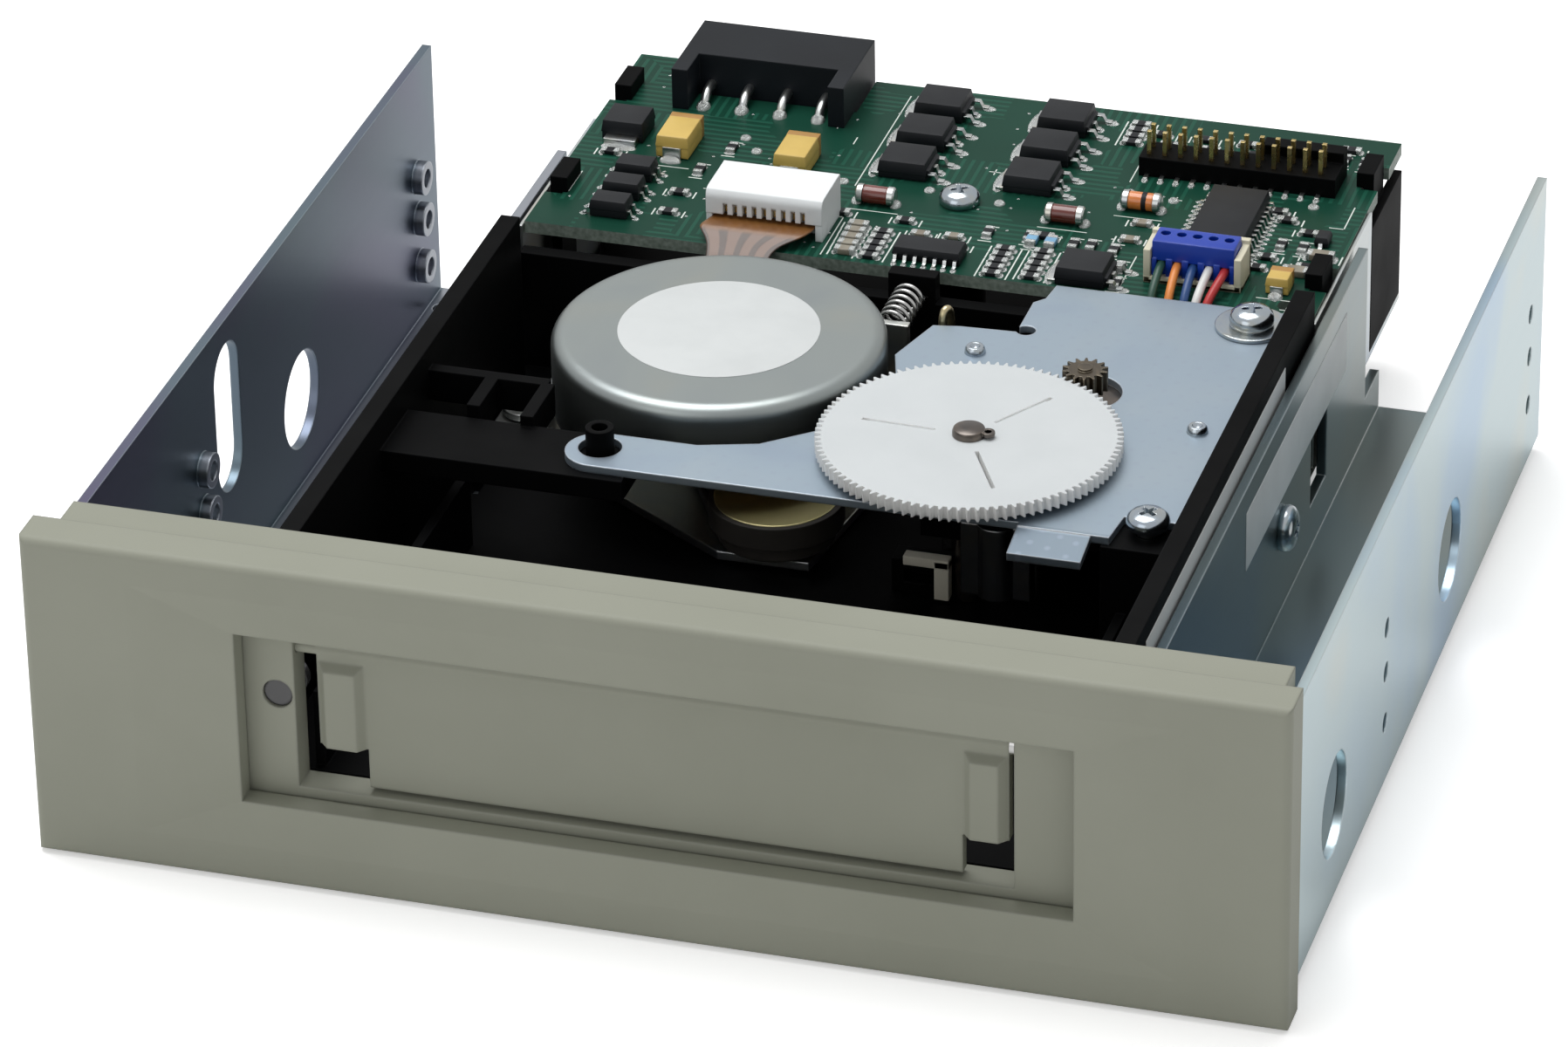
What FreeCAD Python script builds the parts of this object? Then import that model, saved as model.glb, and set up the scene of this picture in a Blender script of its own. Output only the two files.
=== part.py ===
"""Mini-cartridge data tape drive in a half-height bay adapter, cover off.

Millimetres, +Z up, +Y from the front of the bezel to the rear.  Everything is drawn
from the bezel's front face (y = 0) and lower edge (z = 0), and each finished piece is
then moved forward by half the overall depth, so that the origin is the middle of the
base of the whole drive.
"""
import FreeCAD, Part
import Sketcher
import math
import os
import re
from FreeCAD import Placement, Rotation, Vector

SIZES = {
    # adapter bezel
    "bezel_width": 148, "bezel_height": 41.6, "bezel_flange": 5.3,
    "bezel_depth": 11.7, "bezel_face": 3.6, "bezel_wall": 2.2, "bezel_round": 1.0,
    "lip_play": 0.2, "lip_drop": 1.3, "window_left": 48.8, "window_right": 49.3,
    "window_low": 10.1, "window_top": 32.2, "boss_side": 8.0, "boss_high": 9.0,
    "dish_side": 15, "dish_low": 6.6, "dish_high": 6.2, "dish_deep": 0.9,
    # steel side rails
    "rail_width": 146, "rail_sheet": 1.2, "rail_low": 1.6, "rail_top": 37.7,
    "rail_rear": 139, "rail_gap": 0.3, "flange_gap": 0.5, "flange_top": 29.2,
    "flange_rear": 131, "flange_front": 13.5, "ear_top": 8.0, "tab_side": 12.0,
    "tab_top": 13.0, "side_front": 52.4, "side_pitch": 79.25, "side_low": 9.8,
    "side_mid": 16.6, "side_high": 22.5, "tap_radius": 1.25, "collar_radius": 2.2,
    "collar_length": 1.4, "floor_hole_x": 69.85, "floor_hole_shift": 2.0,
    "access_radius": 6.3, "slot_place": 61.7, "slot_low": 14.9, "slot_high": 34.6,
    "slot_width": 8.5, "wire_slot_place": 105.6, "wire_slot_low": 8.6,
    "wire_slot_high": 18.0, "wire_slot_width": 8.4,
    # drive body
    "drive_half": 50.8, "drive_low": 8.5, "shield_sheet": 0.8, "floor_thick": 2.0,
    "side_wall": 2.4, "wall_top": 33.9, "left_wall_rear": 103.6, "right_wall_rear": 109.5,
    "chassis_front": 8.0, "chassis_rear": 157.5, "bay_half": 41.4, "bay_depth": 62,
    "guide_thick": 1.2, "guide_top": 21, "cross_rear": 108.8, "cross_thick": 2.0,
    "cross_top": 27.2, "bridge_low": 26.9, "bridge_front": 50.2, "bridge_rear": 60.6,
    "bridge_end": 18.5, "rib_thick": 1.6, "rib_top": 31, "rib_place": 68.2,
    "drive_screw_front": 26.5, "drive_screw_pitch": 60.1, "drive_screw_height": 14,
    "drive_tap_radius": 1.4, "drive_shank": 1.3, "drive_head": 2.9, "drive_head_high": 1.9,
    # drive's own front frame and door
    "frame_front": 4.0, "frame_thick": 3.6, "frame_round": 1.4, "mouth_left": 42.9,
    "mouth_right": 41.7, "mouth_low": 11.3, "mouth_top": 30.9, "lamp_x": -45.0,
    "lamp_height": 23.2, "lamp_radius": 1.7, "door_left": 40.4, "door_right": 40.9,
    "door_low": 11.9, "door_front": 4.9, "door_thick": 1.6, "door_hinge": 29.2,
    "door_crown": 1.2, "tab_left_edge": 34.6, "tab_right_edge": 35.5, "tab_low": 16.9,
    "pad_raise": 1.0, "pad_slope": 1.1, "pad_top": 28.0, "hinge_radius": 0.9,
    "hinge_reach": 1.2, "hinge_clear": 0.05, "spring_wire": 0.35,
    # circuit board and what is soldered to it
    "power_left": -41.8, "power_wide": 22.8, "power_long": 14.5, "power_high": 5.6,
    "power_arm": 2.1, "power_setback": 5.1, "power_drop": 5.2,
    "power_overhang": 0.6, "pin_pitch": 2.0, "pin_side": 0.55,
    "plug_left": 28.3, "wire_pitch": 2.1, "wire_thick": 0.7,
    "board_top": 29.5, "board_thick": 1.6, "board_front": 110.8, "board_rear": 159.4,
    "board_half": 50.3, "notch_deep": 2.2, "notch_wide": 6.4, "clip_left_front": 122.3,
    "clip_right_front": 121, "clip_rear": 149, "clip_wide": 5.6, "post_front": 141, "clip_high": 2.0,
    "board_screw_x": 0.7, "board_screw_y": 129.5, "board_boss": 3.2,
    "screw_head": 2.6, "screw_high": 2.0, "screw_shank": 1.4,
    # capstan motor, its cradle and the puck that it turns
    "motor_x": -16.5, "motor_y": 83.2, "rotor_radius": 20.3, "rotor_top": 33.2,
    "rotor_low": 23.4, "rotor_shell": 1.2, "rotor_round": 1.6, "shaft_radius": 1.5,
    "air_gap": 1.5, "stator_low": 21.4, "stator_high": 30.5, "bearing_radius": 4.2,
    "base_low": 19.9, "base_thick": 1.2, "puck_x": -5.7, "puck_y": 70.3,
    "puck_radius": 8.2, "tyre_thick": 0.7, "puck_low": 15.6, "puck_top": 18.8,
    "pulley_radius": 6.4, "drive_pulley_radius": 3.2, "pulley_low": 13.4,
    "pulley_high": 1.8, "belt_thick": 0.6, "cradle_low": 11.9, "cradle_sheet": 1.1,
    "pin_reach": 7.8, "upright_reach": 2.6, "seat_offset": 16.45, "cradle_pin_y": 92, "cradle_pin_radius": 1.5,
    "seat_left": 1.2, "seat_right": 2.5, "spring_x": 0.9, "spring_height": 28.4, "spring_radius": 1.9,
    "coil_wire": 0.55, "coil_turns": 6, "running_gap": 0.05, "body_gap": 0.3,
    # head positioner
    "plate_top": 30.6, "plate_sheet": 1.0, "plate_front": 51.4, "plate_right": 47.9,
    "plate_rear": 109.2, "arm_rear": 59.4, "arm_x": -22.9, "gear_x": 19.5,
    "gear_y": 65.8, "gear_module": 0.35, "gear_teeth": 102, "pinion_teeth": 14,
    "gear_low": 31.5, "gear_thick": 1.6, "gear_bearing": 62.7, "pinion_low": 31.1,
    "pinion_high": 2.6, "tooth_slack": 0.12, "mesh_play": 0.05, "screw_lead": 3.175,
    "lead_radius": 1.9,
    "stepper_radius": 11.8, "stepper_low": 15.5, "post_radius": 1.7, "post_top": 33.3,
    "plate_screw_x": 44.1, "plate_screw_front": 54.4, "plate_screw_rear": 104.9,
    "washer_radius": 3.9, "washer_thick": 0.5, "head_low": 14.7, "head_high": 9.6,
    "carriage_low": 20.4, "carriage_high": 5, "rod_radius": 1.0, "rivet_x": 15.3,
    "rivet_y": 6.2, "rivet_radius": 1.3,
    "flex_half": 0.12,
}

doc = FreeCAD.newDocument("tape_drive")
sheet = doc.addObject("Spreadsheet::Sheet", "sizes")
for row, (word, amount) in enumerate(SIZES.items(), 1):
    sheet.set("A%d" % row, word)
    sheet.set("B%d" % row, str(amount))
    sheet.setAlias("B%d" % row, word)
doc.recompute()


def size(word):
    """A driving size as the sheet holds it."""
    return float(sheet.get(word))


def bound(formula):
    """A formula of driving sizes, written as a FreeCAD expression."""
    return re.sub(r"[a-z][a-z_]+", lambda m: "sizes." + m[0] if m[0] in SIZES else m[0],
                  str(formula))


# ---------------------------------------------------------------- primitives
def place(obj, x, y, z):
    for axis, formula in zip("xyz", (x, y, z)):
        obj.setExpression("Placement.Base." + axis, bound(formula))


def box(name, x, y, z, wide, deep, high):
    """A block from its low corner and its three sides."""
    made = doc.addObject("Part::Box", name)
    for prop, formula in (("Length", wide), ("Width", deep), ("Height", high)):
        made.setExpression(prop, bound(formula))
    place(made, x, y, z)
    return made


TURNS = {"z": Rotation(), "x": Rotation(Vector(0, 1, 0), 90),
         "y": Rotation(Vector(1, 0, 0), -90)}


def rod(name, x, y, z, radius, length, axis="z"):
    """A round bar from the middle of its low end, along +axis."""
    made = doc.addObject("Part::Cylinder", name)
    made.setExpression("Radius", bound(radius))
    made.setExpression("Height", bound(length))
    made.Placement = Placement(Vector(), TURNS[axis])
    place(made, x, y, z)
    return made


def fuse(name, *pieces):
    made = doc.addObject("Part::MultiFuse", name)
    made.Shapes = list(pieces)
    made.Refine = True
    return made


def cut(name, base, *tools):
    made = doc.addObject("Part::Cut", name)
    made.Base = base
    made.Tool = tools[0] if len(tools) == 1 else fuse(name + "_tool", *tools)
    return made


NODES = []


def node(label, *pieces):
    """Finishes a sub-part: one object, or a group of separate like solids."""
    if len(pieces) == 1 and pieces[0].TypeId not in ("Part::Box", "Part::Cylinder"):
        made = pieces[0]
    else:
        made = doc.addObject("Part::Compound", label)
        made.Links = list(pieces)
    made.Label = label
    made.setExpression("Placement.Base.y", bound("-(board_rear + power_overhang) / 2"))
    NODES.append(made)
    return made


def fixed_shape(label, shape):
    """A sub-part whose outline comes from a formula that no feature draws."""
    made = doc.addObject("Part::Feature", label)
    made.Shape = shape
    return node(label, made)


# ---------------------------------------------------------------- drawn bodies
PLANES = {"top": "XY_Plane", "front": "XZ_Plane", "side": "YZ_Plane"}


def new_body(name):
    return doc.addObject("PartDesign::Body", name)


def draw(body, view, level, outline=(), circles=()):
    """A sketch seen from the top, front or side, at a level along that view's axis."""
    sketch = body.newObject("Sketcher::SketchObject", body.Name + "_sketch")
    plane = [f for f in body.Origin.OriginFeatures if f.Role == PLANES[view]][0]
    sketch.AttachmentSupport = (plane, "")
    sketch.MapMode = "FlatFace"
    sign = "-" if view == "front" else ""
    sketch.setExpression("AttachmentOffset.Base.z", bound("%s(%s)" % (sign, level)))
    sketch.recompute()
    count = len(outline)
    for i in range(count):
        sketch.addGeometry(Part.LineSegment(Vector(i, i * i, 0), Vector(i + 1, (i + 1) ** 2, 0)))
    rules = []
    for i in range(count):
        sketch.addConstraint(Sketcher.Constraint("Coincident", i, 2, (i + 1) % count, 1))
        rules += [("DistanceX", i, 1, outline[i][0]), ("DistanceY", i, 1, outline[i][1])]
    for i, (across, up, radius) in enumerate(circles, count):
        sketch.addGeometry(Part.Circle(Vector(i, 0, 0), Vector(0, 0, 1), 1))
        rules += [("DistanceX", i, 3, across), ("DistanceY", i, 3, up)]
        at = sketch.addConstraint(Sketcher.Constraint("Radius", i, 1.0))
        sketch.setExpression("Constraints[%d]" % at, bound(radius))
    for kind, edge, point, formula in rules:
        at = sketch.addConstraint(Sketcher.Constraint(kind, -1, 1, edge, point, 1.0))
        sketch.setExpression("Constraints[%d]" % at, bound(formula))
    return sketch


def view_of(sketch):
    role = sketch.AttachmentSupport[0][0].Role
    return [view for view, plane in PLANES.items() if plane == role][0]


def pad(sketch, length, onward=True):
    """Adds the sketch's shape along its view's +axis, or against it."""
    body = sketch.getParentGeoFeatureGroup()
    made = body.newObject("PartDesign::Pad", body.Name + "_pad")
    made.Profile = sketch
    made.setExpression("Length", bound(length))
    made.Reversed = onward == (view_of(sketch) == "front")
    return made


def pocket(sketch, length, onward=True):
    """Cuts the sketch's shape away along its view's +axis, or against it."""
    body = sketch.getParentGeoFeatureGroup()
    made = body.newObject("PartDesign::Pocket", body.Name + "_pocket")
    made.Profile = sketch
    made.setExpression("Length", bound(length))
    made.Reversed = onward != (view_of(sketch) == "front")
    return made


def round_over(feature, radius, wanted):
    """Rounds the edges of a body's latest feature whose box passes the test wanted(box)."""
    doc.recompute()
    body = feature.getParentGeoFeatureGroup()
    rim = ["Edge%d" % i for i, edge in enumerate(feature.Shape.Edges, 1)
           if wanted(edge.BoundBox)]
    made = body.newObject("PartDesign::Fillet", body.Name + "_round")
    made.Base = (feature, rim)
    made.setExpression("Radius", bound(radius))
    return made


def corners(low_x, low_y, high_x, high_y):
    return [(low_x, low_y), (high_x, low_y), (high_x, high_y), (low_x, high_y)]


# ---------------------------------------------------------------- adapter bezel
def adapter_bezel():
    """Moulded front that fills a half-height bay, with a lip that the rails hold."""
    body = new_body("bezel_moulding")
    half = "bezel_width / 2"
    plate = pad(draw(body, "front", "0", corners("-" + half, "0", half, "bezel_height")),
                "bezel_flange")
    round_over(plate, "bezel_round", lambda b: b.YMax < size("bezel_round"))
    side = "(rail_width / 2 - rail_sheet - lip_play)"
    lip = corners("-" + side, "lip_drop", side, "bezel_height - lip_drop")
    pad(draw(body, "front", "bezel_flange", lip), "bezel_depth - bezel_flange")
    wall = "(rail_width / 2 - rail_sheet - lip_play - bezel_wall)"
    hollow = corners("-" + wall, "lip_drop + bezel_wall", wall,
                     "bezel_height - lip_drop - bezel_wall")
    pocket(draw(body, "front", "bezel_face", hollow), "bezel_depth")
    window = corners("-window_left", "window_low", "window_right", "window_top")
    pocket(draw(body, "front", "-1", window), "bezel_face + 2")
    for sign in ("-", ""):
        inner, outer = "(%s - boss_side)" % wall, "(%s + bezel_wall / 2)" % wall
        block = corners(sign + outer, "lip_drop + bezel_wall / 2", sign + inner,
                        "lip_drop + bezel_wall + boss_high")
        pad(draw(body, "front", "bezel_face - bezel_wall / 2", block),
            "bezel_depth - bezel_face + bezel_wall / 2")
        hole = [(sign + "(%s - boss_side / 2)" % wall, "lip_drop + bezel_wall + boss_high / 2",
                 "tap_radius")]
        pocket(draw(body, "front", "bezel_face + bezel_wall", circles=hole), "bezel_depth")
    # the face falls away gently towards the window on all four sides
    dish = doc.addObject("Part::Wedge", "bezel_dish")
    wide = "window_left + window_right + 2 * dish_side"
    high = "window_top - window_low + dish_low + dish_high"
    values = {"Xmin": "0", "Xmax": wide, "Zmin": "0", "Zmax": high, "Ymin": "0",
              "Ymax": "dish_deep + 0.2", "X2min": "dish_side", "X2max": wide + " - dish_side",
              "Z2min": "dish_low", "Z2max": high + " - dish_high"}
    for prop, formula in values.items():
        dish.setExpression(prop, bound(formula))
    place(dish, "-window_left - dish_side", "-0.2", "window_low - dish_low")
    node("adapter_bezel", cut("adapter_bezel_dished", body, dish))


# ---------------------------------------------------------------- side rails
def side_rail(label, sign):
    """Folded zinc-plated channel: a bay wall outside, the drive's wall inside."""
    body = new_body(label)
    outer, inner = "rail_width / 2", "(drive_half + flange_gap)"
    skin = "rail_sheet"
    section = [(inner, "rail_low"), (outer, "rail_low"), (outer, "rail_top"),
               ("%s - %s" % (outer, skin), "rail_top"),
               ("%s - %s" % (outer, skin), "rail_low + " + skin),
               ("%s + %s" % (inner, skin), "rail_low + " + skin),
               ("%s + %s" % (inner, skin), "flange_top"), (inner, "flange_top")]
    section = [("%s(%s)" % (sign, x), z) for x, z in section]
    front = "(bezel_flange + rail_gap)"
    pad(draw(body, "front", front, section), "rail_rear - " + front)
    # the drive's wall starts behind the bezel, and its rear corner is cut to a low ear
    near, far = "%s(%s - 1)" % (sign, inner), "%s(%s + rail_sheet + 1)" % (sign, inner)
    above = "rail_low + rail_sheet"
    gap = "(%s - 1)" % front
    for low, high, base in ((gap, "flange_front", above), ("flange_rear", "rail_rear + 1", "ear_top")):
        window = corners(near, base, far, "flange_top + 1")
        pocket(draw(body, "front", low, window), "%s - %s" % (high, low))
    # its floor starts behind the bezel's lip
    lip = corners("%s(%s - 1)" % (sign, inner), "rail_low - 1",
                  "%s(%s - rail_sheet)" % (sign, outer), above + " + 1")
    pocket(draw(body, "front", gap, lip), "bezel_depth + rail_gap - " + gap)
    # a tab at the front screws to the bezel's boss
    tab = corners("%s(%s - %s / 2)" % (sign, outer, skin), above + " - %s / 2" % skin,
                  "%s(%s - %s - tab_side)" % (sign, outer, skin), "tab_top")
    pad(draw(body, "front", "bezel_depth + rail_gap", tab), skin)
    hole = [(sign + "(rail_width / 2 - rail_sheet - lip_play - bezel_wall - boss_side / 2)",
             "lip_drop + bezel_wall + boss_high / 2", "tap_radius + 0.25")]
    pocket(draw(body, "front", "bezel_depth", circles=hole), "3 * rail_sheet")
    # threaded side holes with collars pressed inwards, and access holes for the drive's screws
    away = sign == ""
    wall_in = "%s(%s - %s)" % (sign, outer, skin)
    spots = [("side_front + %d * side_pitch" % i, z) for i in (0, 1)
             for z in ("side_low", "side_mid", "side_high")]
    collars = [(y, z, "collar_radius") for y, z in spots]
    pad(draw(body, "side", wall_in, circles=collars), "collar_length", onward=not away)
    taps = [(y, z, "tap_radius") for y, z in spots]
    access = [("drive_screw_front + drive_screw_pitch", "drive_screw_height", "access_radius"),
              ("drive_screw_front", "drive_screw_height", "access_radius")]
    start = "%s(%s + 1)" % (sign, outer)
    pocket(draw(body, "side", start, circles=taps + access),
           "rail_sheet + collar_length + 2", onward=not away)
    if sign:
        low = "(slot_low + slot_width / 2)"
        high = "(slot_high - slot_width / 2)"
        half = "slot_width / 2"
        slot = corners("slot_place - " + half, low, "slot_place + " + half, high)
        pocket(draw(body, "side", start, slot), "rail_sheet + 2", onward=not away)
        for end in (low, high):
            rounding = [("slot_place", end, half)]
            pocket(draw(body, "side", start, circles=rounding), "rail_sheet + 2", onward=not away)
    # bottom holes, then the drive wall's screw holes and wiring slot
    under = [(sign + "floor_hole_x", "side_front + floor_hole_shift + %d * side_pitch" % i,
              "tap_radius") for i in (0, 1)]
    pocket(draw(body, "top", "rail_low - 1", circles=under), "rail_sheet + 2")
    screws = [("drive_screw_front + %d * drive_screw_pitch" % i, "drive_screw_height",
               "drive_shank + 0.3") for i in (0, 1)]
    begin = "%s(%s + rail_sheet + 1)" % (sign, inner)
    pocket(draw(body, "side", begin, circles=screws), "rail_sheet + 2", onward=not away)
    half = "wire_slot_width / 2"
    slot = corners("wire_slot_place - " + half, "wire_slot_low", "wire_slot_place + " + half,
                   "wire_slot_high")
    pocket(draw(body, "side", begin, slot), "rail_sheet + 2", onward=not away)
    node(label, body)


def rail_screws():
    """Pan-head screws: four hold the drive between the rails, two hold the bezel."""
    drive, front = [], []
    for sign, axis_start in (("-", "-(drive_half + flange_gap + rail_sheet)"),
                             ("", "drive_half + flange_gap + rail_sheet")):
        for i in (0, 1):
            y = "drive_screw_front + %d * drive_screw_pitch" % i
            name = "drive_screw_%s%d" % ("left" if sign else "right", i)
            reach = "flange_gap + rail_sheet + side_wall"
            shank_x = axis_start if sign else "drive_half - side_wall"
            head_x = "%s - drive_head_high" % axis_start if sign else axis_start
            shank = rod(name + "_shank", shank_x, y, "drive_screw_height", "drive_shank", reach, "x")
            head = rod(name + "_head", head_x, y, "drive_screw_height", "drive_head",
                       "drive_head_high", "x")
            drive.append(fuse(name, shank, head))
        x = sign + "(rail_width / 2 - rail_sheet - lip_play - bezel_wall - boss_side / 2)"
        z = "lip_drop + bezel_wall + boss_high / 2"
        name = "bezel_screw_" + ("left" if sign else "right")
        face = "bezel_depth + rail_gap + rail_sheet"
        shank = rod(name + "_shank", x, "bezel_depth - 5", z, "tap_radius - 0.02",
                    "5 + rail_gap + rail_sheet + 0.5", "y")
        head = rod(name + "_head", x, face, z, "drive_head", "drive_head_high", "y")
        front.append(fuse(name, shank, head))
    node("drive_screws", *drive)
    node("bezel_screws", *front)


# ---------------------------------------------------------------- drive body
def chassis():
    """Black moulded chassis: floor, side walls, cartridge guides, bridge, ribs and posts."""
    body = new_body("chassis")
    floor_low = "(drive_low + shield_sheet)"
    floor_top = "(drive_low + shield_sheet + floor_thick)"
    half = "(drive_half - shield_sheet - body_gap)"
    base = corners("-" + half, "chassis_front", half, "chassis_rear")
    pad(draw(body, "top", floor_low, base), "floor_thick")
    walls = ((("-drive_half", "-(drive_half - side_wall)"), "left_wall_rear"),
             (("drive_half - side_wall", "drive_half"), "right_wall_rear"))
    for (low, high), rear in walls:
        pad(draw(body, "top", floor_low, corners(low, "chassis_front", high, rear)),
            "wall_top - " + floor_low)
    # cartridge guides along both sides of the bay
    for sign in ("-", ""):
        guide = corners("%sbay_half" % sign, "chassis_front + 1", "%s(bay_half + guide_thick)" % sign,
                        "bay_depth")
        pad(draw(body, "top", floor_top + " - 0.5", guide), "guide_top - %s + 0.5" % floor_top)
    # rear cross wall, which the motor's spring pushes against
    cross = corners("-" + half, "cross_rear - cross_thick", half, "cross_rear")
    pad(draw(body, "top", floor_top + " - 0.5", cross), "cross_top - %s + 0.5" % floor_top)
    seat = corners("spring_x - 3", "cross_rear - cross_thick", "spring_x + 3", "cross_rear")
    pad(draw(body, "top", "cross_top - 1", seat), "4.6")
    # bridge over the bay from the left wall, with the post that locates the plate's arm
    bridge = corners("-(drive_half - 1)", "bridge_front", "-bridge_end", "bridge_rear")
    pad(draw(body, "top", "bridge_low", bridge), "plate_top - plate_sheet - bridge_low")
    post = [("arm_x", "(plate_front + arm_rear) / 2 + 0.6", "post_radius")]
    pad(draw(body, "top", "bridge_low + 1", circles=post), "post_top - bridge_low - 1")
    bore = [("arm_x", "(plate_front + arm_rear) / 2 + 0.6", "post_radius - 0.7")]
    pocket(draw(body, "top", "plate_top", circles=bore), "5")
    # stiffening ribs beside the motor
    inner = "(drive_half - side_wall)"
    left_ribs = (corners("-%s - 0.5" % inner, "rib_place", "-33.4", "rib_place + rib_thick"),
                 corners("-34.2", "rib_place - 8", "-(34.2 - rib_thick)", "rib_place + 0.4"),
                 corners("-41.2", "rib_place - 7", "-(41.2 - rib_thick)", "rib_place + 0.4"))
    for rib in left_ribs:
        pad(draw(body, "top", "bridge_low", rib), "rib_top - bridge_low")
    # seats for the positioner plate on the right wall
    seat_low, seat_high = "plate_screw_x - 4.6", inner + " + 0.5"
    for y in ("plate_screw_front", "plate_screw_rear"):
        block = corners(seat_low, y + " - 4.4", seat_high, y + " + 2.6")
        pad(draw(body, "top", floor_top + " - 0.5", block),
            "plate_top - plate_sheet - %s + 0.5" % floor_top)
    # board post and the four snap hooks that hold the board down
    post = [("board_screw_x", "board_screw_y", "board_boss")]
    pad(draw(body, "top", floor_top + " - 0.5", circles=post),
        "board_top - board_thick - %s + 0.5" % floor_top)
    hooks = (("-", "clip_left_front"), ("-", "clip_rear"), ("", "clip_right_front"),
             ("", "clip_rear"))
    for sign in ("-", ""):
        corner = corners("%s(board_half - 0.7)" % sign, "post_front", sign + "drive_half",
                         "chassis_rear")
        pad(draw(body, "top", floor_low, corner), "board_top - board_thick - 1.2 - " + floor_low)
    for sign, y in hooks:
        ends = (y + " - clip_wide / 2", y + " + clip_wide / 2")
        stem = corners("%s(board_half - notch_deep + 0.3)" % sign, ends[0], sign + half, ends[1])
        pad(draw(body, "top", floor_top + " - 0.5", stem), "board_top + 1 - %s + 0.5" % floor_top)
        cap = corners("%s(board_half - notch_deep - 0.6)" % sign, ends[0], sign + half, ends[1])
        pad(draw(body, "top", "board_top + 0.05", cap), "clip_high")
    # screw holes in the side walls, board post and plate seats
    for sign in ("-", ""):
        taps = [("drive_screw_front + %d * drive_screw_pitch" % i, "drive_screw_height",
                 "drive_tap_radius") for i in (0, 1)]
        start = "%s(drive_half + 1)" % sign
        pocket(draw(body, "side", start, circles=taps), "side_wall + 3", onward=sign == "-")
    taps = [("board_screw_x", "board_screw_y", "screw_shank + 0.1"),
            ("plate_screw_x", "plate_screw_front", "screw_shank + 0.1"),
            ("plate_screw_x", "plate_screw_rear", "screw_shank + 0.1")]
    pocket(draw(body, "top", "board_top + 6", circles=taps), "14", onward=False)
    # two narrow slots in the floor beside the left wall
    windows = [corners("-46.6", "bay_depth + %d" % i, "-44.8", "bay_depth + %d" % (i + 4))
               for i in (1, 12)]
    for window in windows:
        pocket(draw(body, "top", floor_low + " - 1", window), "floor_thick + 2")
    # hole for the cradle's pivot pin
    pin = [("motor_x - rotor_radius - pin_reach", "cradle_pin_y", "cradle_pin_radius")]
    pocket(draw(body, "top", floor_low + " - 1", circles=pin), "floor_thick + 2")
    node("chassis", body)


def bottom_shield():
    """Galvanised tray under the chassis, with low side flanges beside the board."""
    body = new_body("bottom_shield")
    tray = corners("-drive_half", "chassis_front", "drive_half", "chassis_rear")
    pad(draw(body, "top", "drive_low", tray), "shield_sheet")
    for sign in ("-", ""):
        flange = corners(sign + "drive_half", "right_wall_rear + 0.6",
                         sign + "(board_half + 0.1)", "post_front - 0.4")
        pad(draw(body, "top", "drive_low", flange), "board_top - 0.3 - drive_low")
    node("bottom_shield", body)


def drive_bezel():
    """The drive's own front frame, with rolled edges and a lamp hole."""
    body = new_body("drive_bezel")
    outline = corners("-drive_half", "drive_low", "drive_half", "wall_top")
    plate = pad(draw(body, "front", "frame_front", outline), "frame_thick")
    round_over(plate, "frame_round", lambda b: b.YMax < size("frame_front") + 0.1)
    mouth = corners("-mouth_left", "mouth_low", "mouth_right", "mouth_top")
    pocket(draw(body, "front", "frame_front - 1", mouth), "frame_thick + 2")
    lamp = [("lamp_x", "lamp_height", "lamp_radius + 0.1")]
    pocket(draw(body, "front", "frame_front - 1", circles=lamp), "frame_thick + 2")
    # sockets for the door's hinge pins, open to the mouth
    axis_y = "door_front + door_thick / 2"
    pins = [(axis_y, "door_hinge", "hinge_radius + hinge_clear")]
    reach = "hinge_reach + hinge_clear"
    pocket(draw(body, "side", "-mouth_left + 0.5", circles=pins), reach + " + 0.5", onward=False)
    pocket(draw(body, "side", "mouth_right - 0.5", circles=pins), reach + " + 0.5")
    node("drive_bezel", body)


def lamp_lens():
    lens = rod("lens_rod", "lamp_x", "frame_front + 0.35", "lamp_height", "lamp_radius",
               "frame_thick + 0.8", "y")
    collar = rod("lens_collar", "lamp_x", "frame_front + frame_thick + 0.1", "lamp_height",
                 "lamp_radius + 0.6", "1.2", "y")
    node("lamp_lens", fuse("lamp_lens_body", lens, collar))


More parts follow.
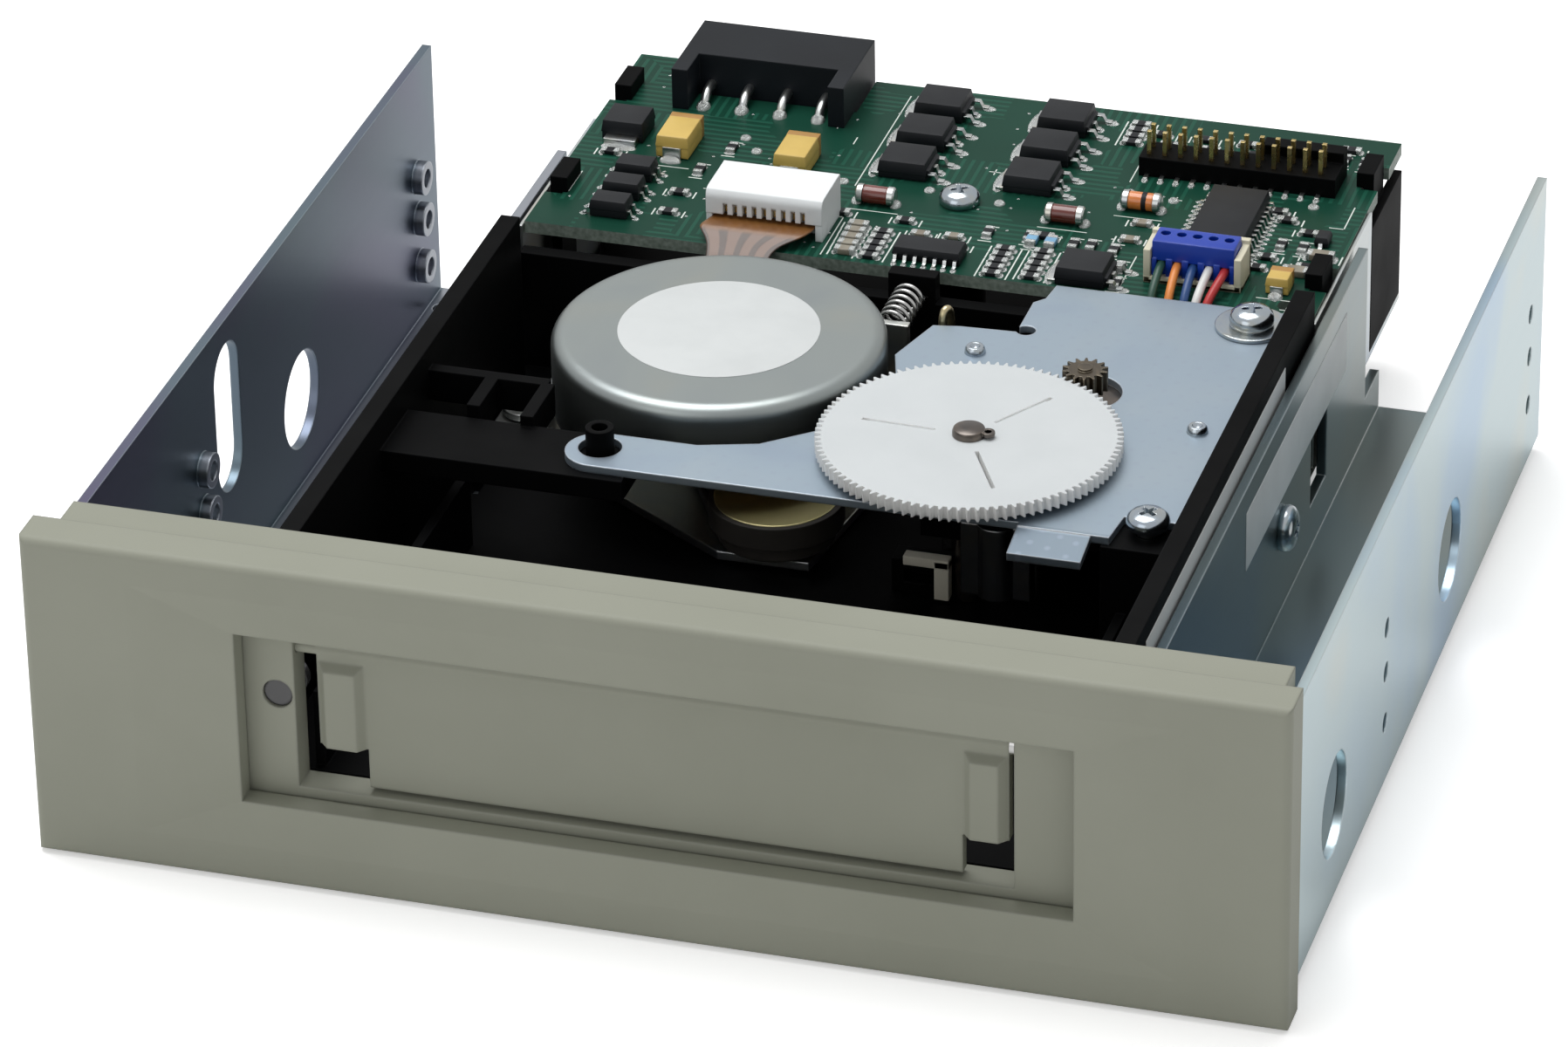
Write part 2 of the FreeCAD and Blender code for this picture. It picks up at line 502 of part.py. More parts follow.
def cartridge_door():
    """Flap hinged at its top edge, with two raised finger pads at the lower corners."""
    body = new_body("door_flap")
    panel = [("-door_left", "tab_low"), ("-tab_left_edge", "tab_low"),
             ("-tab_left_edge", "door_low"), ("tab_right_edge", "door_low"),
             ("tab_right_edge", "tab_low"), ("door_right", "tab_low"),
             ("door_right", "door_hinge + door_crown"),
             ("-door_left", "door_hinge + door_crown")]
    pad(draw(body, "front", "door_front", panel), "door_thick")
    axis_y = "door_front + door_thick / 2"
    barrel = [(axis_y, "door_hinge", "hinge_radius")]
    left = "mouth_left + hinge_reach"
    pad(draw(body, "side", "-(%s)" % left, circles=barrel),
        "mouth_left + mouth_right + 2 * hinge_reach")
    door = body
    pads = []
    for name, low, high in (("pad_left", "-door_left", "-tab_left_edge"),
                            ("pad_right", "tab_right_edge", "door_right")):
        # a raised pad: a block whose front edges slope back on three sides
        wide = "(%s) - (%s)" % (high, low)
        wedge = doc.addObject("Part::Wedge", name)
        values = {"Xmin": "0", "Xmax": wide, "Zmin": "0", "Zmax": "pad_top - tab_low",
                  "X2min": "pad_slope", "X2max": wide + " - pad_slope", "Z2min": "0",
                  "Z2max": "pad_top - tab_low - pad_slope", "Ymin": "0",
                  "Ymax": "pad_raise + 0.2"}
        for prop, formula in values.items():
            wedge.setExpression(prop, bound(formula))
        wedge.Placement = Placement(Vector(), Rotation(Vector(0, 0, 1), 0))
        flip = doc.addObject("Part::Mirroring", name + "_out")
        flip.Source = wedge
        flip.Normal = Vector(0, 1, 0)
        place(flip, low, "door_front + 0.2", "tab_low")
        pads.append(flip)
    node("cartridge_door", fuse("cartridge_door_solid", door, *pads))


def coil(radius, wire, turns, length, start, steps=12):
    """A coil spring along +Y from start, its wire six-sided and bent in short steps."""
    points = []
    for i in range(turns * steps + 1):
        angle = 2 * math.pi * i / steps
        points.append(start + Vector(radius * math.cos(angle), length * i / (turns * steps),
                                     radius * math.sin(angle)))
    ring = [points[0] + Vector(wire * math.cos(math.pi * k / 3), wire * math.sin(math.pi * k / 3), 0)
            for k in range(7)]
    path = Part.Wire(Part.makePolygon(points))
    return path.makePipeShell([Part.Wire(Part.makePolygon(ring))], True, False, 1)


def door_spring():
    """Torsion coil on the right hinge pin that shuts the door."""
    place_x = size("door_right") + 0.12
    axis_y = size("door_front") + size("door_thick") / 2
    wire = size("spring_wire") / 2
    inner = size("hinge_radius") + wire + 0.12
    length = size("mouth_right") - size("door_right") - 0.24
    made = Part.makeCylinder(inner + wire, length, Vector(place_x, axis_y, size("door_hinge")),
                             Vector(1, 0, 0))
    core = Part.makeCylinder(inner - wire, length, Vector(place_x, axis_y, size("door_hinge")),
                             Vector(1, 0, 0))
    fixed_shape("door_spring", made.cut(core))


# ---------------------------------------------------------------- circuit board
def main_board():
    """Board with notches for the snap hooks and a hole over its post."""
    body = new_body("main_board")
    outline = corners("-board_half", "board_front", "board_half", "board_rear")
    level = "board_top - board_thick"
    pad(draw(body, "top", level, outline), "board_thick")
    for sign, y in (("-", "clip_left_front"), ("-", "clip_rear"), ("", "clip_right_front"),
                    ("", "clip_rear")):
        notch = corners("%s(board_half - notch_deep)" % sign, y + " - notch_wide / 2",
                        "%s(board_half + 1)" % sign, y + " + notch_wide / 2")
        pocket(draw(body, "top", level + " - 1", notch), "board_thick + 2")
    # the power connector hangs through a notch in the rear edge
    sunk = corners("power_left - 0.3",
                   "board_rear + power_overhang - power_long + power_setback - 0.3",
                   "power_left + power_wide + 0.3", "board_rear + 1")
    pocket(draw(body, "top", level + " - 1", sunk), "board_thick + 2")
    holes = [("board_screw_x", "board_screw_y", "screw_shank + 0.15"), ("46.8", "113.4", "1.5")]
    pocket(draw(body, "top", level + " - 1", circles=holes), "board_thick + 2")
    node("main_board", body)


def fasteners():
    """Cross-head screws with washers that hold the board and the positioner plate."""
    screws = []
    for name, x, y, face, washer in (
            ("board_screw", "board_screw_x", "board_screw_y", "board_top", False),
            ("plate_screw_front", "plate_screw_x", "plate_screw_front", "plate_top", False),
            ("plate_screw_rear", "plate_screw_x", "plate_screw_rear", "plate_top", True)):
        pieces = []
        seat = face
        if washer:
            pieces.append(rod(name + "_washer", x, y, face, "washer_radius", "washer_thick"))
            seat = face + " + washer_thick"
        pieces.append(rod(name + "_head", x, y, seat, "screw_head", "screw_high"))
        pieces.append(rod(name + "_shank", x, y, face + " - 6", "screw_shank", "6.2"))
        screws.append(fuse(name, *pieces))
    node("board_screw", screws[0])
    node("plate_screws", *screws[1:])


def power_connector():
    """Four-way power plug: two arms in front, a socket at the rear, four bent legs."""
    x, y, z = "power_left", "(board_rear + power_overhang - power_long)", "board_top"
    wide, back = "power_wide", y + " + power_setback"
    arms = box("power_arms", x, y, z, wide, "power_long", "power_high")
    recess = box("power_recess", x + " + power_arm", y + " - 1", z + " - 1", wide + " - 2 * power_arm",
                 "power_setback + 1", "power_high + 2")
    block = box("power_block", x, back, z + " - power_drop", wide,
                "power_long - power_setback", "power_high + power_drop")
    shell = fuse("power_shell", cut("power_fork", arms, recess), block)
    mouth = box("power_mouth", x + " + 1.2", back + " + 2.4", z + " - power_drop + 1.5",
                wide + " - 2.4", "power_long", "power_high + power_drop - 3")
    node("power_connector", cut("power_connector_body", shell, mouth))
    pins = []
    for i in range(4):
        at = "power_left + power_wide / 2 + %g * 5.08" % (i - 1.5)
        pin = rod("power_pin%d" % i, at, back + " + 2.4", z + " + (power_high - power_drop) / 2", "1.05",
                  "6.2", "y")
        pins.append(pin)
        run = box("power_leg%d" % i, at + " - 0.9", y + " - 1.2", z + " + 1.5", "1.8",
                  "power_setback + 1.2", "0.7")
        foot = box("power_foot%d" % i, at + " - 0.9", y + " - 1.2", z, "1.8", "0.7", "1.6")
        pins.append(fuse("power_lead%d" % i, run, foot))
    node("power_pins", *pins)


def interface_connector():
    """Shrouded two-row header under the rear edge of the board, facing backwards."""
    left, low = "(board_half - notch_deep - 46)", "(board_top - board_thick - 9.4)"
    shell = box("interface_shell", left, "147", low, "45.6", "11.4", "9.4")
    mouth = box("interface_mouth", left + " + 1.6", "150", low + " + 1.5", "42.4", "12", "6.4")
    key = box("interface_key", left + " + 20.6", "152", low + " - 1", "4.4", "10", "4")
    node("interface_connector", cut("interface_connector_body", shell, mouth, key))
    pins = []
    for row in (0, 1):
        for i in range(17):
            pins.append(box("interface_pin%d_%d" % (row, i), left + " + 2.16 + %d * 2.54" % i,
                            "150", low + " + 3.1 + %d * 2.54" % row, "0.64", "6", "0.64"))
    node("interface_pins", *pins)


def small_connectors():
    """Flex socket with its cable, stepper header with its plug, and the jumper block."""
    socket = box("flex_shell", "-27.8", "114.6", "board_top", "15", "8.2", "5.6")
    gap = box("flex_gap", "-26.4", "113.6", "board_top + 0.9", "12.2", "3.4", "2.2")
    node("flex_socket", cut("flex_socket_body", socket, gap))
    # cable: out of the socket's front, down over the board's edge to the motor's winding
    body = new_body("flex_cable")
    path = [("115.4", "board_top + 2"), ("111.8", "board_top + 2"), ("110.2", "board_top + 0.6"),
            ("109.6", "cross_top + 1.2"), ("106.8", "cross_top + 0.5"),
            ("105.9", "cross_top - 0.6"), ("105.9", "cross_top - 2.8")]
    outline = [(y + " - flex_half", z + " + flex_half") for y, z in path]
    outline += [(y + " + flex_half", z + " - flex_half") for y, z in reversed(path)]
    pad(draw(body, "side", "-25.6", outline), "10.6")
    node("flex_cable", body)
    shell = box("stepper_shell", "26.9", "114.4", "board_top", "14.4", "6.4", "4.6")
    hollow = box("stepper_hollow", "28.1", "113.4", "board_top + 1.2", "12", "6.2", "6")
    node("stepper_header", cut("stepper_header_body", shell, hollow))
    plug = box("stepper_plug_block", "plug_left", "112.6", "board_top + 1.3", "11.6", "6.5", "3.6")
    holes = [box("plug_hole%d" % i, "29.2 + %d * 2.1" % i, "114.6", "board_top + 3.2", "1.3",
                 "1.5", "3") for i in range(5)]
    node("stepper_plug", cut("stepper_plug_body", plug, *holes))
    base = box("jumper_base", "20.4", "142.4", "board_top", "12 * pin_pitch + 1.2", "4.6", "2.6")
    cap = box("jumper_cap", "20.4 + 7.4 * pin_pitch", "147", "board_top", "4.6 * pin_pitch + 1.2",
              "2.2", "4")
    node("jumper_header", fuse("jumper_header_body", base, cap))
    pins = []
    for row in (0, 1):
        for i in range(12):
            pins.append(box("jumper_pin%d_%d" % (row, i), "21.2 + %d * pin_pitch" % i,
                            "143.4 + %d * pin_pitch" % row, "board_top + 2.6", "pin_side",
                            "pin_side", "3.2"))
    node("jumper_pins", *pins)
    # five wires from the plug, over the cross wall and under the plate to the stepper
    wires = []
    route = [("112.2", "board_top + 3.1"), ("111.3", "board_top + 2.6"), ("110", "board_top + 1.3"),
             ("109.9", "board_top - 0.4"), ("108.6", "board_top - 1.2"), ("99", "board_top - 1.2")]
    half = "wire_thick / 2"
    for i in range(5):
        lead = new_body("stepper_wire%d" % i)
        outline = [("%s - %s" % (y, half), "%s + %s" % (z, half)) for y, z in route]
        outline += [("%s + %s" % (y, half), "%s - %s" % (z, half)) for y, z in reversed(route)]
        pad(draw(lead, "side", "plug_left + 1.4 + %d * wire_pitch - %s" % (i, half), outline),
            "wire_thick")
        wires.append(lead)
    node("stepper_wires", *wires)


def chips():
    """Moulded packages on the board: power transistors, logic, capacitors and diodes."""
    power = [box("transistor%d" % i, x, y, "board_top + 0.1", "6.4", "5.6", "2.4")
             for i, (x, y) in enumerate((("-11.2", "150.4"), ("-11.2", "142"), ("-11.2", "133.6"),
                                         ("5", "150.4"), ("5", "142"), ("5", "133.6"),
                                         ("17.6", "111.4")))]
    node("power_transistors", *power)
    logic = [box("logic0", "-3.4", "112.6", "board_top + 0.15", "8.8", "3.9", "1.6"),
             box("logic1", "31", "122.4", "board_top + 0.15", "7.5", "15.6", "2.4"),
             box("logic2", "-43.2", "124.4", "board_top + 0.15", "5.4", "3.4", "2.4"),
             box("logic3", "-43.2", "119.2", "board_top + 0.15", "5.4", "3.4", "2.4"),
             box("logic4", "-43.2", "114", "board_top + 0.15", "5.4", "3.4", "2.4"),
             box("logic5", "-48", "134.6", "board_top + 0.15", "5.8", "5.6", "2.6")]
    node("logic_chips", *logic)
    tants = [box("tantalum0", "-39.9", "131.8", "board_top + 0.1", "4.4", "7.2", "2.9"),
             box("tantalum1", "-24", "130.6", "board_top + 0.1", "4.4", "7.2", "2.9"),
             box("tantalum2", "43", "115.4", "board_top + 0.1", "3.2", "4", "2.1")]
    node("tantalum_capacitors", *tants)
    reds = [rod("diode%d" % i, x, y, "board_top + 1.2", "1.15", "4.2", "x")
            for i, (x, y) in enumerate((("-11.4", "126.6"), ("12.7", "127.6"), ("21", "133.4")))]
    node("glass_diodes", *reds)


# ---------------------------------------------------------------- capstan motor
def capstan_motor():
    """Outer-rotor motor on a sprung cradle, with a belt to the brass puck."""
    x, y = "motor_x", "motor_y"
    can = new_body("motor_rotor")
    drum = pad(draw(can, "top", "rotor_low", circles=[(x, y, "rotor_radius")]),
               "rotor_top - rotor_low")
    round_over(drum, "rotor_round", lambda b: b.ZMin > size("rotor_top") - 0.1)
    bowl = [(x, y, "rotor_radius - rotor_shell")]
    pocket(draw(can, "top", "rotor_low - 1", circles=bowl),
           "rotor_top - rotor_low - rotor_shell + 1")
    spindle = [(x, y, "shaft_radius")]
    bottom = "(pulley_low + 0.1)"
    pad(draw(can, "top", bottom, circles=spindle), "rotor_top - rotor_shell / 2 - " + bottom)
    node("motor_rotor", can)
    pulley = rod("drive_pulley_wheel", x, y, "pulley_low", "drive_pulley_radius", "pulley_high")
    bore = rod("drive_pulley_bore", x, y, "pulley_low - 1", "shaft_radius", "pulley_high + 2")
    node("drive_pulley", cut("drive_pulley_body", pulley, bore))
    # wound stator on a bearing tube
    stator = rod("stator_core", x, y, "stator_low", "rotor_radius - rotor_shell - air_gap",
                 "stator_high - stator_low")
    tube = rod("stator_tube", x, y, "base_low - 2", "bearing_radius", "stator_high - base_low + 2")
    hole = rod("stator_bore", x, y, "base_low - 4", "shaft_radius + running_gap", "30")
    node("motor_stator", cut("motor_stator_body", fuse("stator_whole", stator, tube), hole))
    # puck: brass wheel with a belt pulley under it and a soft tyre round it
    px, py = "puck_x", "puck_y"
    wheel = rod("puck_wheel", px, py, "puck_low", "puck_radius - tyre_thick",
                "puck_top - puck_low")
    sheave = rod("puck_sheave", px, py, "pulley_low", "pulley_radius", "puck_low - pulley_low")
    bore = rod("puck_bore", px, py, "pulley_low - 1", "shaft_radius + running_gap",
               "puck_top - pulley_low - 0.2")
    node("capstan_puck", cut("capstan_puck_body", fuse("puck_whole", wheel, sheave), bore))
    ring = rod("tyre_ring", px, py, "puck_low + 0.1", "puck_radius", "puck_top - puck_low - 0.2")
    core = rod("tyre_core", px, py, "puck_low - 1", "puck_radius - tyre_thick",
               "puck_top - puck_low + 2")
    node("puck_tyre", cut("puck_tyre_body", ring, core))
    node("puck_axle", rod("puck_axle_pin", px, py, "cradle_low", "shaft_radius",
                          "puck_top - 1.6 - cradle_low"))


def drive_belt():
    """Flat belt round the motor's pulley and the puck's sheave."""
    small, large = size("drive_pulley_radius"), size("pulley_radius")
    gap, thick = size("running_gap"), size("belt_thick")
    low, high = size("pulley_low") + 0.2, size("pulley_high") - 0.4
    here = Vector(size("motor_x"), size("motor_y"), low)
    there = Vector(size("puck_x"), size("puck_y"), low)
    run = there - here
    lean = math.acos((small - large) / run.Length)
    heading = math.atan2(run.y, run.x)

    def loop(grow):
        """Two arcs and two straight runs, grow outside the pulleys."""
        def at(centre, radius, angle):
            return centre + Vector(math.cos(angle), math.sin(angle), 0) * (radius + grow)
        up, down = heading + lean, heading - lean
        ends = [at(here, small, up), at(there, large, up), at(there, large, down),
                at(here, small, down)]
        edges = [Part.LineSegment(ends[0], ends[1]).toShape(),
                 Part.Arc(ends[1], at(there, large, heading), ends[2]).toShape(),
                 Part.LineSegment(ends[2], ends[3]).toShape(),
                 Part.Arc(ends[3], at(here, small, heading + math.pi), ends[0]).toShape()]
        return Part.Face(Part.Wire(edges)).extrude(Vector(0, 0, high))
    fixed_shape("drive_belt", loop(gap + thick).cut(loop(gap)))


def motor_cradle():
    """Plated bracket that swings on a pin and carries motor, belt and puck."""
    body = new_body("motor_cradle")
    mx, my, px, py = "motor_x", "motor_y", "puck_x", "puck_y"
    cradle_right = "(spring_x + seat_right)"
    upright = "(motor_x - rotor_radius - upright_reach)"
    pin_x = "(motor_x - rotor_radius - pin_reach)"
    seat_rear = "(motor_y + 1.5 * rotor_radius - seat_offset)"
    lower = [(pin_x + " - 3", "cradle_pin_y - 3.4"), (px + " - 6", py + " - 5"),
             (px + " + 5.4", py + " - 5"), (cradle_right, "motor_y + 8"),
             (cradle_right, seat_rear + " + 0.4"), (pin_x + " - 3", "cradle_pin_y + 3.4")]
    pad(draw(body, "top", "cradle_low", lower), "cradle_sheet")
    holes = [(pin_x, "cradle_pin_y", "cradle_pin_radius + running_gap"),
             (px, py, "shaft_radius")]
    pocket(draw(body, "top", "cradle_low - 1", circles=holes), "cradle_sheet + 2")
    # uprights at both sides of the motor, and the shelf between them that the stator sits on
    left = corners(upright, "motor_y + 2", upright + " + cradle_sheet", "motor_y + 12")
    right = corners(cradle_right + " - cradle_sheet", "motor_y + 8", cradle_right, seat_rear)
    shelf_top = "(base_low + base_thick)"
    pad(draw(body, "top", "cradle_low", left), shelf_top + " - cradle_low")
    pad(draw(body, "top", "cradle_low", right), shelf_top + " - cradle_low")
    shelf = [(upright, "motor_y + 2"), (mx + " - 5", "motor_y - 6"),
             (mx + " + 5", "motor_y - 6"), (cradle_right, "motor_y + 8"),
             (cradle_right, seat_rear), (upright, "motor_y + 12")]
    pad(draw(body, "top", "base_low", shelf), "base_thick")
    # seat for the spring, behind the rotor on the right
    seat = corners("spring_x - seat_left", seat_rear + " - cradle_sheet",
                   "spring_x + seat_right", seat_rear)
    pad(draw(body, "top", "base_low", seat), "spring_height + 1.2 - base_low")
    bearing = [(mx, my, "bearing_radius")]
    pocket(draw(body, "top", "base_low - 1", circles=bearing), "base_thick + 2")
    node("motor_cradle", body)
    pin_low = "drive_low + shield_sheet"
    pin = rod("cradle_pin_rod", pin_x, "cradle_pin_y", pin_low, "cradle_pin_radius",
              "cradle_low + cradle_sheet + 2 - drive_low - shield_sheet")
    cap = rod("cradle_pin_cap", pin_x, "cradle_pin_y", "cradle_low + cradle_sheet + 0.3",
              "cradle_pin_radius + 1.2", "0.8")
    node("cradle_pin", fuse("cradle_pin_body", pin, cap))


def cradle_spring():
    """Compression spring between the cross wall and the cradle's seat."""
    wire = size("coil_wire") / 2
    seat_rear = size("motor_y") + 1.5 * size("rotor_radius") - size("seat_offset")
    start = Vector(size("spring_x"), seat_rear + 0.2 + wire, size("spring_height"))
    end = size("cross_rear") - size("cross_thick") - 0.2 - wire
    fixed_shape("cradle_spring", coil(size("spring_radius"), wire, int(size("coil_turns")),
                                      end - start.y, start))


# ---------------------------------------------------------------- head positioner
def positioner_plate():
    """Galvanised plate over the head, with an arm round the motor and a folded tab."""
    body = new_body("positioner_plate")
    level = "plate_top - plate_sheet"
    arm_y = "(plate_front + arm_rear) / 2"
    apart = "(gear_module * (gear_teeth + pinion_teeth) / 2 + mesh_play)"
    pinion_x = "gear_x + %s * cos(gear_bearing)" % apart
    pinion_y = "gear_y + %s * sin(gear_bearing)" % apart
    outline = [("arm_x", "plate_front"), ("29.4", "plate_front"), ("29.4", "plate_front - 0.8"),
               ("38.2", "plate_front - 0.8"), ("40.4", "plate_front - 0.8"),
               ("plate_right - 7", "plate_front + 4.4"), ("plate_right", "plate_front + 4.4"),
               ("plate_right", "plate_rear"), ("18.6", "plate_rear"), ("18.2", "105.6"),
               ("17", "104.2"), ("17", "96.4"), ("10", "96"), ("6.8", "95.4"), ("4.4", "87"),
               ("7.8", "76"), ("3", "68.4"), ("-5", "61.6"), ("-12", "arm_rear"),
               ("arm_x", "arm_rear")]
    pad(draw(body, "top", level, outline), "plate_sheet")
    tip = [("arm_x", arm_y, "(arm_rear - plate_front) / 2")]
    pad(draw(body, "top", level, circles=tip), "plate_sheet")
    # tab folded down at the front edge
    fold = [("plate_front", level), ("plate_front - 5.4", level + " - 1.1"),
            ("plate_front - 5.4", "plate_top - 1.1"), ("plate_front", "plate_top")]
    pad(draw(body, "side", "29.4", fold), "8.8")
    holes = [("arm_x", arm_y + " + 0.6", "post_radius + 0.9"),
             ("gear_x", "gear_y", "lead_radius + 0.6"),
             ("plate_screw_x", "plate_screw_front", "screw_shank + 0.3"),
             ("plate_screw_x", "plate_screw_rear", "screw_shank + 0.3"),
             ("18", "97", "1.2"),
             (pinion_x, pinion_y, "gear_module * pinion_teeth / 2 + 2"),
             (pinion_x + " - rivet_x", pinion_y + " + rivet_y", "rivet_radius - 0.4"),
             (pinion_x + " + rivet_x", pinion_y + " - rivet_y", "rivet_radius - 0.4")]
    pocket(draw(body, "top", level + " - 1", circles=holes), "plate_sheet + 2")
    node("positioner_plate", body)


def involute_free_wheel(teeth, module, slack, centre, low, high, turned):
    """A spur wheel whose tooth sides are straight, as they look at this fine pitch."""
    pitch = module * teeth / 2
    tip, root = pitch + module * 0.9, pitch - module * 1.2
    step = 2 * math.pi / teeth
    flank = step * (0.25 - slack / 2)
    outline = []
    for i in range(teeth):
        mid = turned + i * step
        for radius, angle in ((root, -flank * 1.55), (tip, -flank * 0.45), (tip, flank * 0.45),
                              (root, flank * 1.55)):
            outline.append(centre + Vector(radius * math.cos(mid + angle),
                                           radius * math.sin(mid + angle), low))
    face = Part.Face(Part.makePolygon(outline + outline[:1]))
    return face.extrude(Vector(0, 0, high))


def gear_train():
    """Lead-screw wheel and the stepper's pinion, in mesh, with screw, clip and stepper."""
    module, slack = size("gear_module"), size("tooth_slack")
    teeth, few = int(size("gear_teeth")), int(size("pinion_teeth"))
    centre = Vector(size("gear_x"), size("gear_y"), 0)
    bearing = math.radians(size("gear_bearing"))
    apart = module * (teeth + few) / 2 + size("mesh_play")
    beside = centre + Vector(math.cos(bearing), math.sin(bearing), 0) * apart
    wheel = involute_free_wheel(teeth, module, slack, centre, size("gear_low"),
                                size("gear_thick"), bearing)
    hub = Part.makeCylinder(3.4, 0.5, centre + Vector(0, 0, size("gear_low") - 0.5))
    bore = Part.makeCylinder(size("lead_radius") - 0.6, 9, centre + Vector(0, 0, size("gear_low") - 3))
    slots = []
    for i in range(3):
        heading = math.radians(size("gear_bearing") - 5 + 120 * i)
        slot = Part.makeBox(9, 0.5, 9, Vector(4.2, -0.25, 0))
        slot.rotate(Vector(), Vector(0, 0, 1), math.degrees(heading))
        slot.translate(centre + Vector(0, 0, size("gear_low") - 3))
        slots.append(slot)
    fixed_shape("lead_screw_gear", wheel.fuse(hub).cut(bore.fuse(slots)))
    # the pinion has a tooth gap facing the wheel's tooth
    half_tooth = math.pi / few
    pinion = involute_free_wheel(few, module, slack, beside, size("pinion_low"),
                                 size("pinion_high"), bearing + math.pi + half_tooth)
    spindle_low = size("stepper_low") + 0.6
    spindle = Part.makeCylinder(0.9, size("pinion_low") + size("pinion_high") + 0.3 - spindle_low,
                                beside + Vector(0, 0, spindle_low))
    fixed_shape("stepper_pinion", pinion.fuse(spindle))
    # stepper: a can with a two-eared flange riveted under the plate
    under = size("plate_top") - size("plate_sheet")
    can = Part.makeCylinder(size("stepper_radius"), under - size("stepper_low"),
                            beside + Vector(0, 0, size("stepper_low")))
    ears = [beside + Vector(way * size("rivet_x"), -way * size("rivet_y"), 0) for way in (-1, 1)]
    flange = []
    for ear in ears:
        flange.append(Part.makeCylinder(3, 0.9, ear + Vector(0, 0, under - 0.9)))
    along = (ears[1] - ears[0]).normalize()
    aside = Vector(-along.y, along.x, 0) * 3
    web = [ears[0] + aside, ears[1] + aside, ears[1] - aside, ears[0] - aside, ears[0] + aside]
    web = Part.Face(Part.makePolygon([p + Vector(0, 0, under - 0.9) for p in web]))
    flange.append(web.extrude(Vector(0, 0, 0.9)))
    clear = [Part.makeCylinder(0.95, 40, beside + Vector(0, 0, spindle_low - 0.3))]
    clear += [Part.makeCylinder(size("rivet_radius") - 0.4, 40, ear) for ear in ears]
    fixed_shape("stepper_motor", can.fuse(flange).cut(clear))
    rivets = []
    for ear in ears:
        head = Part.makeCylinder(size("rivet_radius"), 0.5, ear + Vector(0, 0, size("plate_top")))
        shank = Part.makeCylinder(size("rivet_radius") - 0.4, size("plate_sheet") + 1.2,
                                  ear + Vector(0, 0, under - 0.9))
        rivets.append(head.fuse(shank))
    fixed_shape("plate_rivets", Part.Compound(rivets))
    # lead screw: a fine shaft that the wheel is pressed on
    foot = size("drive_low") + size("shield_sheet") + size("floor_thick") + 0.1
    collar = size("gear_low") - 0.5
    shaft = Part.makeCylinder(size("lead_radius"), collar - foot, centre + Vector(0, 0, foot))
    neck = Part.makeCylinder(size("lead_radius") - 0.6, size("gear_low") + size("gear_thick")
                             + 0.9 - foot, centre + Vector(0, 0, foot))
    fixed_shape("lead_screw", shaft.fuse(neck))
    clip_low = size("gear_low") + size("gear_thick") + 0.05
    ring = Part.makeCylinder(2.4, 0.4, centre + Vector(0, 0, clip_low))
    ring = ring.cut(Part.makeCylinder(size("lead_radius") - 0.6, 2, centre + Vector(0, 0, clip_low - 1)))
    gap = Part.makeBox(3, 1.4, 2, centre + Vector(0.6, -0.7, clip_low - 1))
    fixed_shape("e_clip", ring.cut(gap))


def head_assembly():
    """Head on a carriage that the lead screw lifts along two guide rods."""
    x, y = "gear_x", "gear_y"
    block = box("carriage_block", x + " - 5.2", y + " - 3", "carriage_low", "14.6", "8.6",
                "carriage_high")
    screw_hole = rod("carriage_bore", x, y, "carriage_low - 1", "lead_radius + running_gap",
                     "carriage_high + 2")
    holes = [rod("carriage_rod%d" % i, at, y + " + 3.6", "carriage_low - 1",
                 "rod_radius + running_gap", "carriage_high + 2")
             for i, at in enumerate((x + " - 3.4", x + " + 7"))]
    node("head_carriage", cut("head_carriage_body", block, screw_hole, *holes))
    core = box("head_core", x + " + 0.4", "bay_depth - 1.6", "head_low", "8.4", "4.6 - 0.3",
               "head_high")
    nose = rod("head_nose", x + " + 4.6", "bay_depth - 0.2", "head_low", "2.6", "head_high")
    trim = box("head_trim", x + " - 2", "bay_depth + 0.9", "head_low - 1", "12", "4",
               "head_high + 2")
    body = fuse("head_whole", core, cut("head_nose_front", nose, trim))
    node("magnetic_head", cut("magnetic_head_body", body,
                              box("head_back", x + " - 1", y + " - 3.02", "head_low - 1", "12",
                                  "9", "head_high + 2")))
    floor_top = "drive_low + shield_sheet + floor_thick"
    rods = [rod("guide_rod%d" % i, at, y + " + 3.6", floor_top, "rod_radius",
                "plate_top - plate_sheet - (%s)" % floor_top)
            for i, at in enumerate((x + " - 3.4", x + " + 7"))]
    node("guide_rods", *rods)


def sensing_lever():
    """Cream plunger that the cartridge pushes, and the switch behind it."""
    floor_top = "drive_low + shield_sheet + floor_thick"
    bar = box("lever_bar", "12", "bay_depth - 0.4", "16", "5.6", "1.2", "1")
    post = box("lever_post", "15.8", "bay_depth - 0.8", floor_top + " + 0.3", "1.8", "1.6",
               "17 - (%s) - 0.3" % floor_top)
    stem = box("lever_stem", "12", "bay_depth - 0.8", "13", "3.4", "4", "1.2")
    foot = box("lever_foot", "12", "bay_depth - 0.8", "13", "5.6", "1.6", "1.2")
    node("sensing_lever", fuse("sensing_lever_body", bar, post, stem, foot))
    body = box("switch_body", "10.2", "bay_depth + 2.6", floor_top, "7", "3.2", "4.4")
    hollow = box("switch_hollow", "11.7", "bay_depth + 1.6", "12.7", "4", "3.4", "1.8")
    node("sensing_switch", cut("sensing_switch_body", body, hollow))


adapter_bezel()
side_rail("left_rail", "-")
side_rail("right_rail", "")
rail_screws()
chassis()
bottom_shield()
drive_bezel()
lamp_lens()
cartridge_door()
door_spring()
main_board()
fasteners()
power_connector()
interface_connector()
small_connectors()
chips()
capstan_motor()
drive_belt()
motor_cradle()
cradle_spring()
positioner_plate()
gear_train()
head_assembly()
sensing_lever()

